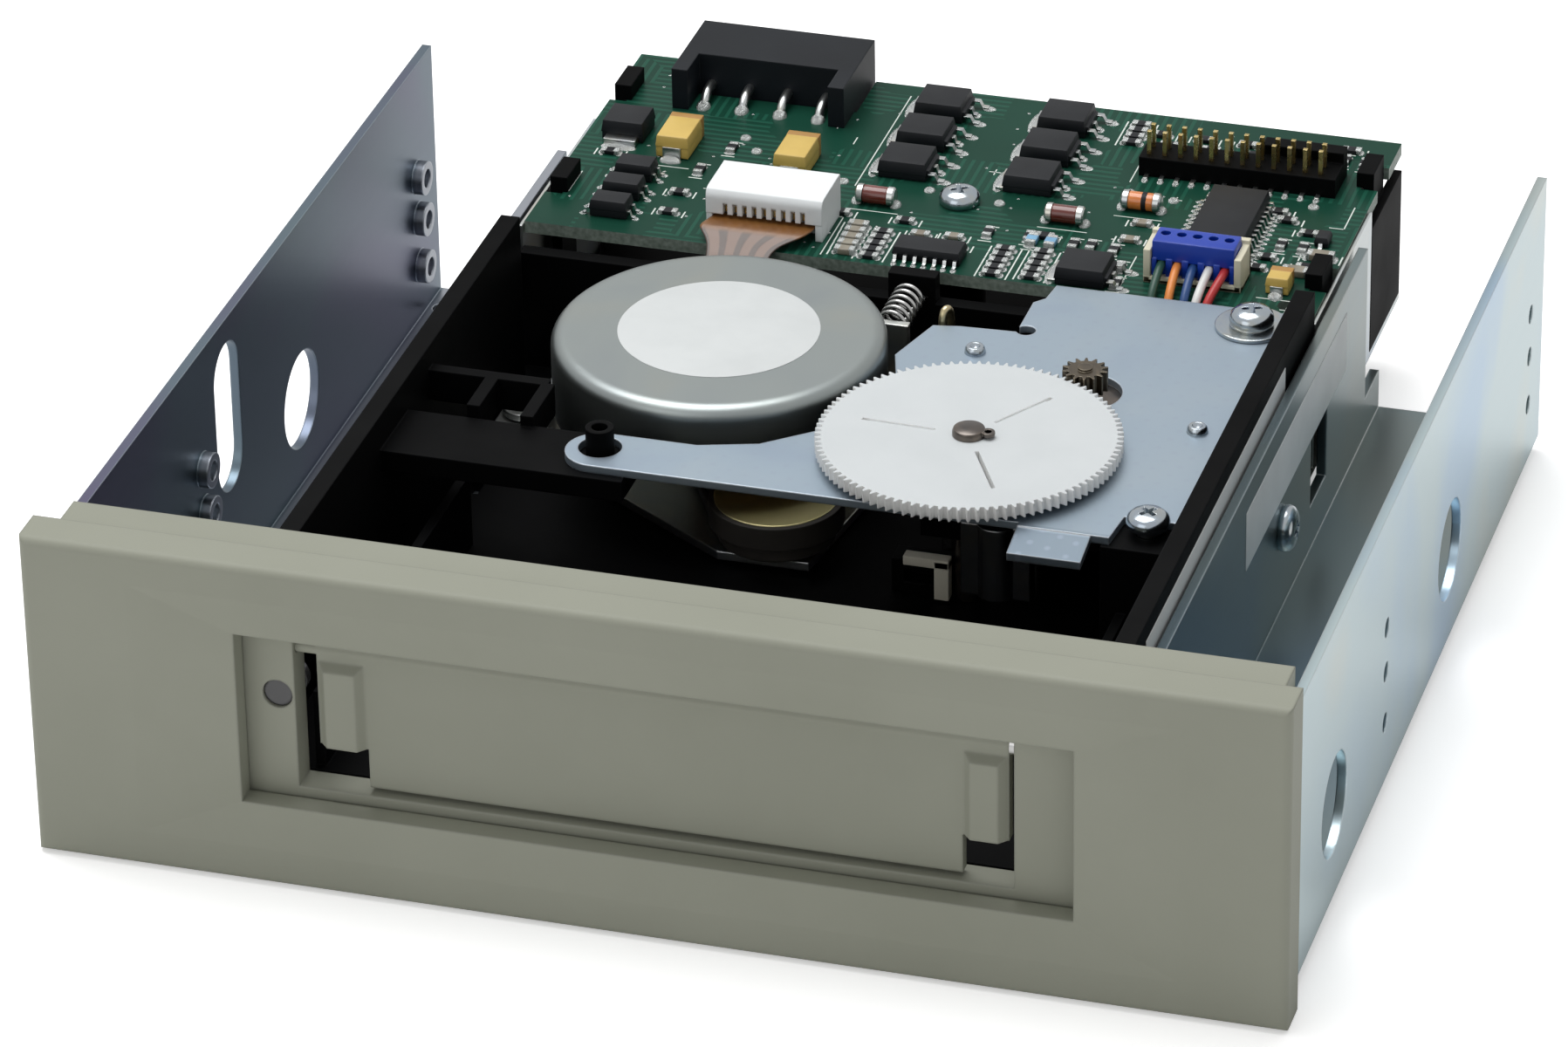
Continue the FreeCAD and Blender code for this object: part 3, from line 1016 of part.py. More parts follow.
doc.recompute()
for obj in doc.Objects:
    if "Invalid" in obj.State or "Error" in obj.State:
        raise RuntimeError("%s did not build: %s" % (obj.Name, obj.State))
for made in NODES:
    if made.Shape.isNull() or not made.Shape.isValid():
        raise RuntimeError("%s has no valid shape" % made.Label)
os.makedirs("parts", exist_ok=True)
for made in NODES:
    made.Shape.exportStep("parts/%s.step" % made.Label)
    print("%-22s %2d solids %10.1f mm3" % (made.Label, len(made.Shape.Solids), made.Shape.Volume))
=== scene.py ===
"""Looks of a mini-cartridge data tape drive, cover off, in its half-height bay adapter.

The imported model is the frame.  Lengths are written in millimetres, as on the maker's
drawing: x to the right, y back from the bezel's face, z up from the bezel's lower edge.
"""
import math
import random

import bmesh
import bpy
from mathutils import Matrix, Vector


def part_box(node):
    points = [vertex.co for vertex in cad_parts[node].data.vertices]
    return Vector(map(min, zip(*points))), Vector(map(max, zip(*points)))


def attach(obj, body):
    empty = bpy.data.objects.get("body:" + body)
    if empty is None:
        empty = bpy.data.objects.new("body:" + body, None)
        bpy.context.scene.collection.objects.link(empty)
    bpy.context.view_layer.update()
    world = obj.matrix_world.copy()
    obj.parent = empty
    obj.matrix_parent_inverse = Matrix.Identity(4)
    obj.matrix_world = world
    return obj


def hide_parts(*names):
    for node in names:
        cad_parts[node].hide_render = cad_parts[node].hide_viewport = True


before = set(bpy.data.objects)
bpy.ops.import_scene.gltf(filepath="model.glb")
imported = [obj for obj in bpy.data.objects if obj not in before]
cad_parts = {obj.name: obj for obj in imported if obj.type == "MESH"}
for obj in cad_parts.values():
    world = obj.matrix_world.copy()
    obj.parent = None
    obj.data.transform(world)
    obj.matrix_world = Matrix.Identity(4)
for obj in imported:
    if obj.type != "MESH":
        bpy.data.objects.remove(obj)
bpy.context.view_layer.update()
scene = bpy.context.scene
bezel_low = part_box("adapter_bezel")[0]


# --- studio
# A pale sweep under the drive, one broad soft lamp overhead, a weaker one in front
# and a white room around them.  Metal sees the white room; the lamps stay gentle.
def at(x, y, z):
    """A point of the drawing, in millimetres, as a place in the scene."""
    return Vector((x / 1000, bezel_low.y + y / 1000, bezel_low.z + z / 1000))


def add_object(name, data):
    made = bpy.data.objects.new(name, data)
    scene.collection.objects.link(made)
    return made


camera = add_object("camera", bpy.data.cameras.new("camera"))
camera.location = at(242.603, -735.314, 492.127)
camera.rotation_euler = [math.radians(turn) for turn in (60.4826, 0.8887, 16.568)]
camera.data.lens = 185.78
camera.data.sensor_width = 36
camera.data.clip_start = 0.05
scene.camera = camera
scene.view_settings.view_transform = "Standard"


def set_inputs(tree, node, inputs):
    """Sets or joins a node's inputs, by name or number; plain colours are (r, g, b)."""
    for entry, value in inputs.items():
        socket = node.inputs[entry]
        if hasattr(value, "is_linked"):
            tree.links.new(value, socket)
        else:
            socket.default_value = (*value, 1) if socket.type == "RGBA" else value


def put(tree, kind, inputs=None, out=0, **settings):
    """Adds a shader node with its inputs set and gives one of its outputs."""
    made = tree.nodes.new("ShaderNode" + kind)
    for word, value in settings.items():
        setattr(made, word, value)
    set_inputs(tree, made, inputs or {})
    return made.outputs[out]


def maths(tree, operation, first, second=0.5):
    return put(tree, "Math", {0: first, 1: second}, operation=operation)


def fit(tree, value, low, high, to_low=0.0, to_high=1.0):
    """Stretches low..high to another range and clamps it."""
    return put(tree, "MapRange", {"Value": value, "From Min": low, "From Max": high,
                                  "To Min": to_low, "To Max": to_high})


def start_material(name, **sockets):
    """A material, its tree and its shader, with the shader's own sockets set."""
    made = bpy.data.materials.new(name)
    made.use_nodes = True
    skin = made.node_tree.nodes["Principled BSDF"]
    set_inputs(made.node_tree, skin,
               {word.replace("_", " "): value for word, value in sockets.items()})
    return made, made.node_tree, skin


room = bpy.data.worlds.new("white_room")
room.use_nodes = True
scene.world = room
tree = room.node_tree
seen = maths(tree, "MAXIMUM", put(tree, "LightPath", out="Is Camera Ray"),
             put(tree, "LightPath", out="Is Transmission Ray"))
mirrored = fit(tree, put(tree, "LightPath", out="Is Glossy Ray"), 0.0, 1.0, 0.0, 0.5)
room_glow = 0.42
set_inputs(tree, tree.nodes["Background"],
           {"Color": (1, 1, 1),
            "Strength": fit(tree, maths(tree, "MAXIMUM", seen, mirrored), 0.0, 1.0, room_glow)})

sweep_mesh = bpy.data.meshes.new("sweep")
reach = 6.0
sweep_mesh.from_pydata([(-reach, -reach, 0), (reach, -reach, 0), (reach, reach, 0),
                        (-reach, reach, 0)], [], [(0, 1, 2, 3)])
sweep = add_object("sweep", sweep_mesh)
sweep.location.z = bezel_low.z - 0.0003
paper, tree, matt = start_material("sweep_paper", Base_Color=(0.93, 0.93, 0.93), Roughness=0.9,
                                   Specular_IOR_Level=0.1, Emission_Color=(1, 1, 1))
set_inputs(tree, matt, {"Emission Strength": maths(
    tree, "MULTIPLY", put(tree, "LightPath", out="Is Camera Ray"), 0.42)})
sweep_mesh.materials.append(paper)

for name, place, target, side, power in (
        ("overhead_softbox", at(-250, 260, 1150), at(0, 70, 20), 0.9, 12),
        ("front_softbox", at(-350, -900, 450), at(0, 40, 20), 0.7, 1.25)):
    lamp = add_object(name, bpy.data.lights.new(name, "AREA"))
    lamp.data.size = side
    lamp.data.energy = power
    lamp.location = place
    lamp.rotation_euler = (target - place).to_track_quat("-Z", "Y").to_euler()


# --- wide adapter bezel
# Warm grey ABS moulding with a fine spark-eroded grain, its front dished towards the
# window.  The drive's own frame and door are moulded in the same grey.
def new_group(name, ins, outs):
    """An empty shader group: {name: colour or number} in, {name: kind} out."""
    group = bpy.data.node_groups.new(name, "ShaderNodeTree")
    for word, value in ins.items():
        colour = isinstance(value, tuple)
        socket = group.interface.new_socket(
            word, in_out="INPUT", socket_type="NodeSocketColor" if colour else "NodeSocketFloat")
        socket.default_value = (*value, 1) if colour else value
    for word, kind in outs.items():
        group.interface.new_socket(word, in_out="OUTPUT", socket_type="NodeSocket" + kind)
    return group, group.nodes.new("NodeGroupInput").outputs, group.nodes.new("NodeGroupOutput")


def mix(tree, share, first, second):
    """Two colours mixed by a share."""
    return put(tree, "Mix", {0: share, 6: first, 7: second}, out=2, data_type="RGBA")


# moulded_grain: spark-eroded texture with faint shade changes, for every moulded plastic
tree, given, result = new_group(
    "moulded_grain",
    {"Colour": (0.3, 0.3, 0.27), "Shade": (0.2, 0.2, 0.18), "Grain Size": 0.35,
     "Mottle Size": 14.0, "Roughness": 0.6, "Spread": 0.08},
    {"Colour": "Color", "Roughness": "Float", "Height": "Float"})
where = put(tree, "TexCoord", out="Object")
fine, wide = (
    put(tree, "TexNoise", {"Vector": where, "Scale": maths(tree, "DIVIDE", 1000.0, given[size]),
                           "Detail": detail})
    for size, detail in (("Grain Size", 3.0), ("Mottle Size", 4.0)))
spread = maths(tree, "MULTIPLY", maths(tree, "SUBTRACT", wide), given["Spread"])
set_inputs(tree, result, {
    "Colour": mix(tree, fit(tree, wide, 0.35, 0.7), given["Colour"], given["Shade"]),
    "Roughness": maths(tree, "ADD", spread, given["Roughness"]), "Height": fine})
grain_group = tree

# edge_wear_and_highlight: finds outside edges and paints them paler: on plastic partly rubbed wear
# and partly a painted highlight, on plating a painted highlight
tree, given, result = new_group(
    "edge_wear_and_highlight",
    {"Colour": (0.3, 0.3, 0.27), "Edge Colour": (0.5, 0.5, 0.5), "Width": 0.4, "Amount": 0.5},
    {"Colour": "Color", "Mask": "Float", "Normal": "Vector"})
metres = maths(tree, "MULTIPLY", given["Width"], 0.001)
rounded = put(tree, "Bevel", {"Radius": metres}, samples=6)
flat = put(tree, "NewGeometry", out="Normal")
agreement = put(tree, "VectorMath", {0: rounded, 1: flat}, out="Value", operation="DOT_PRODUCT")
# share of edge colour: rubbed wear with a painted highlight laid along the edge
wear_and_highlight = maths(tree, "MULTIPLY", fit(tree, agreement, 0.98, 0.8), given["Amount"])
set_inputs(tree, result, {
    "Colour": mix(tree, wear_and_highlight, given["Colour"], given["Edge Colour"]), "Mask": wear_and_highlight,
    "Normal": rounded})
edge_wear_and_highlight_group = tree


def use_group(tree, group, **values):
    """Places a group in a material and gives its outputs."""
    made = tree.nodes.new("ShaderNodeGroup")
    made.node_tree = group
    set_inputs(tree, made, {word.replace("_", " "): value for word, value in values.items()})
    return made.outputs


def coated(name, group, edge, width, wear_and_highlight, relief, depth, sockets, shade=None, **values):
    """A material from a surface group, with paler edges over it (wear and painted highlight) and
    its relief as bump.
    """
    made, tree, skin = start_material(name, **sockets)
    film = use_group(tree, group, **values)
    tone = film["Colour"]
    # shade, when given, lays a band of painted shade (painted light on the left rail) over the
    # colour by place
    if shade:
        tone = use_group(tree, light_and_shade_band_group, Colour=tone, **shade)["Colour"]
    rim = use_group(tree, edge_wear_and_highlight_group, Colour=tone, Edge_Colour=edge, Width=width, Amount=wear_and_highlight)
    bump = put(tree, "Bump", {"Height": film["Height"], "Strength": relief,
                              "Distance": depth / 1000, "Normal": rim["Normal"]})
    set_inputs(tree, skin, {"Base Color": rim["Colour"], "Roughness": film["Roughness"],
                            "Normal": bump})
    return made


def moulded(name, colour, shade, edge, rough, grain=0.35, depth=0.02, width=0.35, wear_and_highlight=0.4,
            mottle=14.0, spread=0.1, **sockets):
    """A moulded plastic: grain, faint mottle and paler edges, partly rubbed wear and partly a
    painted highlight.
    """
    return coated(name, grain_group, edge, width, wear_and_highlight, 0.35, depth, sockets, Colour=colour,
                  Shade=shade, Grain_Size=grain, Mottle_Size=mottle, Roughness=rough,
                  Spread=spread)


def dress(material, *nodes):
    """Gives CAD nodes their finish."""
    for node in nodes:
        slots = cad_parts[node].data.materials
        if not slots:
            slots.append(material)
        for i in range(len(slots)):
            slots[i] = material


putty = moulded(
    "putty_moulding", (0.292, 0.300, 0.244), (0.268, 0.276, 0.222), (0.36, 0.36, 0.32), 0.58,
    grain=0.3, depth=0.03, width=0.5, wear_and_highlight=0.25, mottle=30.0, Specular_IOR_Level=0.4)
dress(putty, "adapter_bezel")

# --- drive's front frame, lamp, door
# The frame is the same moulding grey with a rolled rim; a smoky lens sits in its left
# end.  The flap has two raised finger pads and swings in on pins at its top edge.
dress(putty, "drive_bezel", "cartridge_door")
smoke = moulded(
    "smoky_lens", (0.05, 0.05, 0.052), (0.035, 0.035, 0.037), (0.09, 0.09, 0.09), 0.22, grain=0.6,
    depth=0.004, wear_and_highlight=0.3, Coat_Weight=0.5, Coat_Roughness=0.12)
dress(smoke, "lamp_lens")

spring_steel, tree, skin = start_material("spring_steel", Metallic=1.0, Roughness=0.24)
drawn = put(tree, "TexNoise", {"Scale": 900.0, "Detail": 2.0})
set_inputs(tree, skin, {"Base Color": mix(tree, drawn, (0.62, 0.62, 0.60), (0.42, 0.42, 0.42))})
dress(spring_steel, "door_spring")

# --- side rails
# Zinc-plated sheet, folded cold.  The bright passivation shows soft bluish, violet and
# straw-coloured clouds, and the rolling of the sheet leaves faint streaks along it.
tree, given, result = new_group(
    "passivation_bloom",
    {"Colour": (0.6, 0.62, 0.65), "Cool": (0.5, 0.56, 0.72), "Warm": (0.7, 0.66, 0.52),
     "Cloud Size": 22.0, "Roughness": 0.3, "Streaks": 0.3},
    {"Colour": "Color", "Roughness": "Float", "Height": "Float"})
where = put(tree, "TexCoord", out="Object")
clouds = put(tree, "TexNoise", {
    "Vector": where, "Scale": maths(tree, "DIVIDE", 1000.0, given["Cloud Size"]),
    "Detail": 2.0, "Distortion": 0.6})
cooled = mix(tree, fit(tree, clouds, 0.52, 0.72), given["Colour"], given["Cool"])
warmed = mix(tree, fit(tree, clouds, 0.48, 0.28), cooled, given["Warm"])
along = put(tree, "Mapping", {"Vector": where, "Scale": (900.0, 9.0, 900.0)})
streak = put(tree, "TexNoise", {"Vector": along, "Scale": 1.0, "Detail": 2.0})
amount = maths(tree, "MULTIPLY", streak, given["Streaks"])
set_inputs(tree, result, {
    "Colour": warmed, "Height": amount,
    "Roughness": maths(tree, "ADD", maths(tree, "MULTIPLY", amount, 0.25),
                       given["Roughness"])})
bloom_group = tree


def plated(name, colour, cool, warm, rough, cloud=22.0, streaks=0.3, depth=0.004,
           edge=(0.8, 0.8, 0.8), width=0.3, wear_and_highlight=0.5, shade=None, metal=1.0):
    """A plated sheet: clouds in the passivation, rolling streaks and cut edges with a painted
    highlight.
    """
    return coated(name, bloom_group, edge, width, wear_and_highlight, 0.4, depth, {"Metallic": metal}, shade,
                  Colour=colour, Cool=cool, Warm=warm, Cloud_Size=cloud, Roughness=rough,
                  Streaks=streaks)


# painted_light_and_shade_band: paints shade (light on the left rail) as another colour coming in
# between two places along the drive's x or y, in metres
tree, given, result = new_group(
    "painted_light_and_shade_band",
    {"Colour": (0.5, 0.5, 0.5), "Shade": (0.1, 0.1, 0.1), "Start": 0.0, "End": 1.0,
     "Most": 1.0, "Along Y": 0.0}, {"Colour": "Color"})
where = put(tree, "TexCoord", out="Object")
spot = put(tree, "Mix", {0: given["Along Y"], 2: put(tree, "SeparateXYZ", {0: where}, out=0),
                         3: put(tree, "SeparateXYZ", {0: where}, out=1)})
share = fit(tree, spot, given["Start"], given["End"], 0.0, given["Most"])
set_inputs(tree, result, {"Colour": mix(tree, share, given["Colour"], given["Shade"])})
light_and_shade_band_group = tree

# inside the right channel, from x = 72.8 mm inward, the sheet is painted darker than on its outer
# face: painted shade
rail_zinc_channel_shade = plated(
    "rail_zinc_channel_shade", (0.51, 0.61, 0.63), (0.42, 0.55, 0.67), (0.61, 0.62, 0.55), 0.3, cloud=40.0,
    streaks=0.08,
    shade={"Shade": (0.035, 0.060, 0.062), "Start": 0.0728, "End": 0.0700, "Most": 0.62})
dress(rail_zinc_channel_shade, "right_rail")
# the left rail's chromate has violet clouds; its steel blue is painted darker, a painted dark
# reflection of the drive beside it, and from x = -71.8 mm inward its collars are painted paler, a
# painted light
blue_zinc_painted_dark = plated(
    "blue_rail_zinc_painted_dark", (0.135, 0.175, 0.215), (0.135, 0.125, 0.200), (0.140, 0.195, 0.215), 0.34,
    cloud=46.0, streaks=0.08, edge=(0.62, 0.70, 0.74),
    shade={"Shade": (0.36, 0.38, 0.42), "Start": -0.0718, "End": -0.0712})
dress(blue_zinc_painted_dark, "left_rail")

# --- cross-head screws
# Zinc-plated pan-head machine screws with a cross recess, turned and headed from wire.
# The drive, the bezel, the board and the positioner plate are all held by them.
def from_bmesh(name, shape):
    mesh = bpy.data.meshes.new(name)
    bmesh.ops.recalc_face_normals(shape, faces=shape.faces)
    shape.to_mesh(mesh)
    shape.free()
    return mesh


def add_piece(name, form, material, *hidden, body="frame", slot=None, smooth=True):
    """Adds a shape, mesh or curve as a piece that rides a body in place of CAD nodes."""
    if isinstance(form, bmesh.types.BMesh):
        form = from_bmesh(name, form)
    made = add_object(name, form)
    form.materials.append(material)
    if smooth and isinstance(form, bpy.types.Mesh):
        for face in form.polygons:
            face.use_smooth = True
        form.set_sharp_from_angle(angle=math.radians(35))
    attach(made, body)
    if hidden:
        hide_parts(*hidden)
    return made


def turn_profile(shape, profile, middle, axis="z", steps=40):
    """Adds a turned form: (radius, height) points round an axis through middle."""
    rings = []
    for radius, height in profile:
        ring = []
        for i in range(steps if radius > 0 else 1):
            angle = 2 * math.pi * i / steps
            a, b = radius * math.cos(angle), radius * math.sin(angle)
            offset = {"z": (a, b, height), "y": (a, height, b), "x": (height, a, b)}[axis]
            ring.append(shape.verts.new(middle + Vector(offset) / 1000))
        rings.append(ring)
    for low, high in zip(rings, rings[1:]):
        for i in range(steps):
            j = (i + 1) % steps
            corners = list(dict.fromkeys([low[i % len(low)], low[j % len(low)],
                                          high[j % len(high)], high[i % len(high)]]))
            if len(corners) > 2:
                shape.faces.new(corners)
    for ring in (rings[0], rings[-1]):
        if len(ring) > 2:
            shape.faces.new(ring)


def carve(name, solid, tool):
    """A new shape: the first one with the second cut out of it."""
    pair = [add_object(name + end, from_bmesh(name + end, shape))
            for end, shape in (("_solid", solid), ("_tool", tool))]
    sink = pair[0].modifiers.new("carve", "BOOLEAN")
    sink.object = pair[1]
    sink.operation = "DIFFERENCE"
    sink.solver = "EXACT"
    sink.use_self = True
    bpy.context.view_layer.update()
    cut = bmesh.new()
    cut.from_mesh(bpy.data.meshes.new_from_object(
        pair[0].evaluated_get(bpy.context.evaluated_depsgraph_get())))
    for piece in pair:
        bpy.data.objects.remove(piece)
    return cut


def screw_mesh(name, head, high, shank, reach, washer=0.0):
    """A pan-head screw standing on z = 0 with its cross recess cut in."""
    shape, cross = bmesh.new(), bmesh.new()
    crown = [(0, high), (head * 0.45, high * 0.985), (head * 0.75, high * 0.88),
             (head * 0.93, high * 0.66), (head, high * 0.36), (head * 0.985, high * 0.12),
             (head * 0.93, 0.0)]
    turn_profile(shape, crown + [(shank, 0.0), (shank, -reach), (0, -reach)], Vector())
    arm, wide, deep = head * 0.56, head * 0.13, high * 0.62
    for turn in (0, math.pi / 2):
        for vert in bmesh.ops.create_cube(cross, size=1)["verts"]:
            top = vert.co.z > 0
            vert.co = Vector((vert.co.x * 2 * (arm if top else arm * 0.35),
                              vert.co.y * 2 * (wide if top else wide * 0.7),
                              high * 1.2 if top else high - deep))
            vert.co = Matrix.Rotation(turn, 3, "Z") @ vert.co / 1000
    shape = carve(name, shape, cross)
    if washer:
        thick = 0.5
        turn_profile(shape, [(shank, 0), (washer - 0.1, 0), (washer, -0.1), (washer, 0.1 - thick),
                             (washer - 0.1, -thick), (shank, -thick)], Vector(), steps=48)
    mesh = bpy.data.meshes.new(name)
    shape.to_mesh(mesh)
    shape.free()
    return mesh


def set_screws(name, node, patterns):
    """Copies of screw meshes (mesh, place, turn, axis of the turn) as one piece."""
    shape = bmesh.new()
    for mesh, place, turn, axis in patterns:
        copy = mesh.copy()
        copy.transform(Matrix.Translation(place) @ Matrix.Rotation(turn, 4, axis))
        shape.from_mesh(copy)
    add_piece(name, shape, screw_zinc, node, slot="screw_steel")


def span(node):
    """A CAD node's lower and upper corners in the drawing's millimetres."""
    return [Vector((corner.x, corner.y - bezel_low.y, corner.z - bezel_low.z)) * 1000
            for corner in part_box(node)]


screw_zinc = plated(
    "screw_zinc", (0.44, 0.49, 0.53), (0.38, 0.44, 0.53), (0.48, 0.49, 0.46), 0.17, cloud=3.0,
    streaks=0.2, width=0.15)
board_z = span("main_board")[1].z
plate_z = span("positioner_plate")[1].z
small_screw = screw_mesh("small_screw", 2.6, 2.0, 1.4, 5.5)
washer_screw = screw_mesh("washer_screw", 2.75, 2.1, 1.4, 5.5, washer=4.5)
low, high = span("board_screw")
set_screws("board_cross_screw", "board_screw",
           [(small_screw, at((low.x + high.x) / 2, (low.y + high.y) / 2, board_z), 0.5, "Z")])
low, high = span("plate_screws")
set_screws("plate_cross_screws", "plate_screws",
           [(small_screw, at(high.x - 3.9, low.y + 2.6, plate_z), 0.9, "Z"),
            (washer_screw, at(high.x - 3.9, high.y - 3.9, plate_z + 0.5), 0.35, "Z")])
# head height and half width of the side and bezel screws
head_high, head_half = 1.9, 2.9
side_screw = screw_mesh("side_screw", head_half, head_high, 1.3, 3.4)
front_screw = screw_mesh("front_screw", head_half, head_high, 1.23, 6.3)
low, high = span("drive_screws")
set_screws("drive_cross_screws", "drive_screws",
           [(side_screw, at(side, y, (low.z + high.z) / 2), way * math.pi / 2, "Y")
            for side, way in ((high.x - head_high, 1), (low.x + head_high, -1))
            for y in (low.y + head_half, high.y - head_half)])
low, high = span("bezel_screws")
set_screws("bezel_cross_screws", "bezel_screws",
           [(front_screw, at(x, high.y - head_high, (low.z + high.z) / 2), -math.pi / 2, "X")
            for x in (low.x + head_half, high.x - head_half)])

# --- chassis, bottom shield and labels
# The chassis is a black glass-filled moulding with guides, ribs and snap hooks.  A
# galvanised tray is pressed on under it and shows beside the circuit board.  Two bare
# paper labels are stuck to the right flange and to the chassis wall.
chassis_black = moulded(
    "chassis_black", (0.0017, 0.0018, 0.0020), (0.0012, 0.0013, 0.0015), (0.010, 0.0105, 0.0115),
    0.6, grain=0.5, width=0.3, wear_and_highlight=0.5, mottle=9.0, spread=0.2, Specular_IOR_Level=0.05)
dress(chassis_black, "chassis")
shield_zinc = plated(
    "shield_zinc", (0.58, 0.62, 0.62), (0.50, 0.56, 0.62), (0.62, 0.60, 0.52), 0.3, cloud=18.0,
    streaks=0.5)
dress(shield_zinc, "bottom_shield")


def add_block(shape, low, high, bevel=0.15, slope=0.0):
    """Adds a block between two points of the drawing, its top drawn in by slope (mm)."""
    made = bmesh.ops.create_cube(shape, size=1)["verts"]
    for vert in made:
        share = vert.co + Vector((0.5, 0.5, 0.5))
        spot = [low[i] + share[i] * (high[i] - low[i]) for i in range(3)]
        if share[2] > 0.5 and slope:
            for i in (0, 1):
                spot[i] += slope if share[i] < 0.5 else -slope
        vert.co = at(*spot)
    if bevel:
        edges = list({edge for vert in made for edge in vert.link_edges})
        bmesh.ops.bevel(shape, geom=edges, offset=bevel / 1000, segments=2, profile=0.6,
                        affect="EDGES")


def blocks_of(*blocks, bevel=0.15):
    """A shape made of blocks (low, high) given in drawing millimetres."""
    shape = bmesh.new()
    for low, high in blocks:
        add_block(shape, low, high, bevel)
    return shape


# the upright labels get paper painted paler than the rotor's disc: painted light for lamp light
# that hardly reaches them
paper_painted_bright = moulded(
    "paper_painted_bright", (0.86, 0.87, 0.86), (0.80, 0.81, 0.80), (0.88, 0.88, 0.88), 0.5, grain=0.12,
    depth=0.006, wear_and_highlight=0.2, width=0.1, mottle=6.0)
flange_x = span("right_rail")[0].x + 1.2
wall_x = span("chassis")[1].x
for name, low, high in (
        ("flange_label", (flange_x - 0.04, 68.0, 18.2), (flange_x + 0.06, 119.8, 26.0)),
        ("wall_label", (wall_x, 27, 27.0), (wall_x + 0.1, 94, 31.6))):
    add_piece(name, blocks_of((low, high), bevel=0.02), paper_painted_bright, slot="white_plastic")

# --- circuit board
# Four-layer glass-epoxy board under green solder mask.  Copper tracks show as paler
# lines under the mask, and the routed edge shows bare pale laminate.
# lie_of_face: how far a face lies level, 1 on top and 0 on an upright side
tree, given, result = new_group("lie_of_face", {}, {"Level": "Float"})
facing = put(tree, "NewGeometry", out="Normal")
set_inputs(tree, result, {"Level": maths(
    tree, "ABSOLUTE", put(tree, "SeparateXYZ", {0: facing}, out=2))})
level_group = tree

board_mask, tree, skin = start_material("solder_mask", Roughness=0.34, Specular_IOR_Level=0.1)
where = put(tree, "TexCoord", out="Object")
grid = put(tree, "Mapping", {"Vector": where, "Scale": (1, 1, 0.001)})
cells = put(tree, "TexVoronoi", {"Vector": grid, "Scale": 130.0}, out="Color",
            distance="CHEBYCHEV")
upward, sideways = (put(tree, "TexWave", {"Vector": grid, "Scale": 260.0, "Distortion": 0.4},
                        out="Fac", bands_direction=way) for way in ("X", "Y"))
pick, present = (maths(tree, "GREATER_THAN", put(tree, "SeparateColor", {0: cells}, out=part),
                       least) for part, least in ((0, 0.5), (1, 0.42)))
tracks = put(tree, "Mix", {0: pick, 2: upward, 3: sideways})
copper = maths(tree, "MULTIPLY", fit(tree, tracks, 0.62, 0.72), present)
cloud = put(tree, "TexNoise", {"Vector": where, "Scale": 60.0, "Detail": 3.0})
mask = mix(tree, copper, mix(tree, cloud, (0.0045, 0.034, 0.021), (0.0085, 0.060, 0.038)),
           (0.012, 0.078, 0.050))
weave = put(tree, "TexNoise", {"Vector": where, "Scale": 1500.0})
laminate = mix(tree, weave, (0.060, 0.090, 0.070), (0.34, 0.40, 0.35))
raised = put(tree, "Bump", {"Height": copper, "Strength": 0.5, "Distance": 0.00003})
is_edge = maths(tree, "LESS_THAN", use_group(tree, level_group)["Level"])
set_inputs(tree, skin, {"Base Color": mix(tree, is_edge, mask, laminate), "Normal": raised})
dress(board_mask, "main_board")

# --- solder, pads and print
# Bright tin-lead solder on every pad, clear of the mask, and white printed outlines
# beside the parts.  The print carries no words or numbers.
solder, tree, skin = start_material("bright_solder", Metallic=0.9, Roughness=0.27)
lumps = put(tree, "TexNoise", {"Scale": 1400.0, "Detail": 3.0})
set_inputs(tree, skin, {
    "Base Color": mix(tree, lumps, (0.66, 0.68, 0.67), (0.36, 0.38, 0.37)),
    "Normal": put(tree, "Bump", {"Height": lumps, "Strength": 0.5, "Distance": 0.0002})})
solder_shape, print_shape = bmesh.new(), bmesh.new()


def solder_blob(x, y, wide, deep, high=0.35):
    """A rounded mound of solder on the board, from its middle and its sides."""
    for vert in bmesh.ops.create_icosphere(solder_shape, subdivisions=2, radius=1)["verts"]:
        vert.co = at(x + vert.co.x * wide / 2, y + vert.co.y * deep / 2,
                     board_z + max(vert.co.z, -0.02) * high)


def printed_line(points, width=0.16):
    """A printed line through points of the board."""
    for start, end in zip(points, points[1:]):
        start, end = Vector(start), Vector(end)
        onward = (end - start).normalized() * width / 2
        aside = Vector((-onward.y, onward.x))
        print_shape.faces.new([print_shape.verts.new(at(*corner, board_z + 0.012)) for corner in (
            start - onward + aside, end + onward + aside, end + onward - aside,
            start - onward - aside)])


# --- small chip parts
# Resistors and ceramic capacitors, soldered at both ends in rows beside the chips that
# they serve.  Resistors have black tops, capacitors are grey-brown or pale ceramic.
resistor_shape, ceramic_shape, blue_shape = bmesh.new(), bmesh.new(), bmesh.new()


def turned(along, a, b):
    """A pair in (x, y) order for a part that lies along that axis."""
    return (a, b) if along == "x" else (b, a)


def add_pad(shape, x, y, wide, deep, low, high, bevel=0.15, slope=0.0):
    """Adds a block by its middle and sides, from low to high above the board."""
    add_block(shape, (x - wide / 2, y - deep / 2, board_z + low),
              (x + wide / 2, y + deep / 2, board_z + high), bevel, slope)


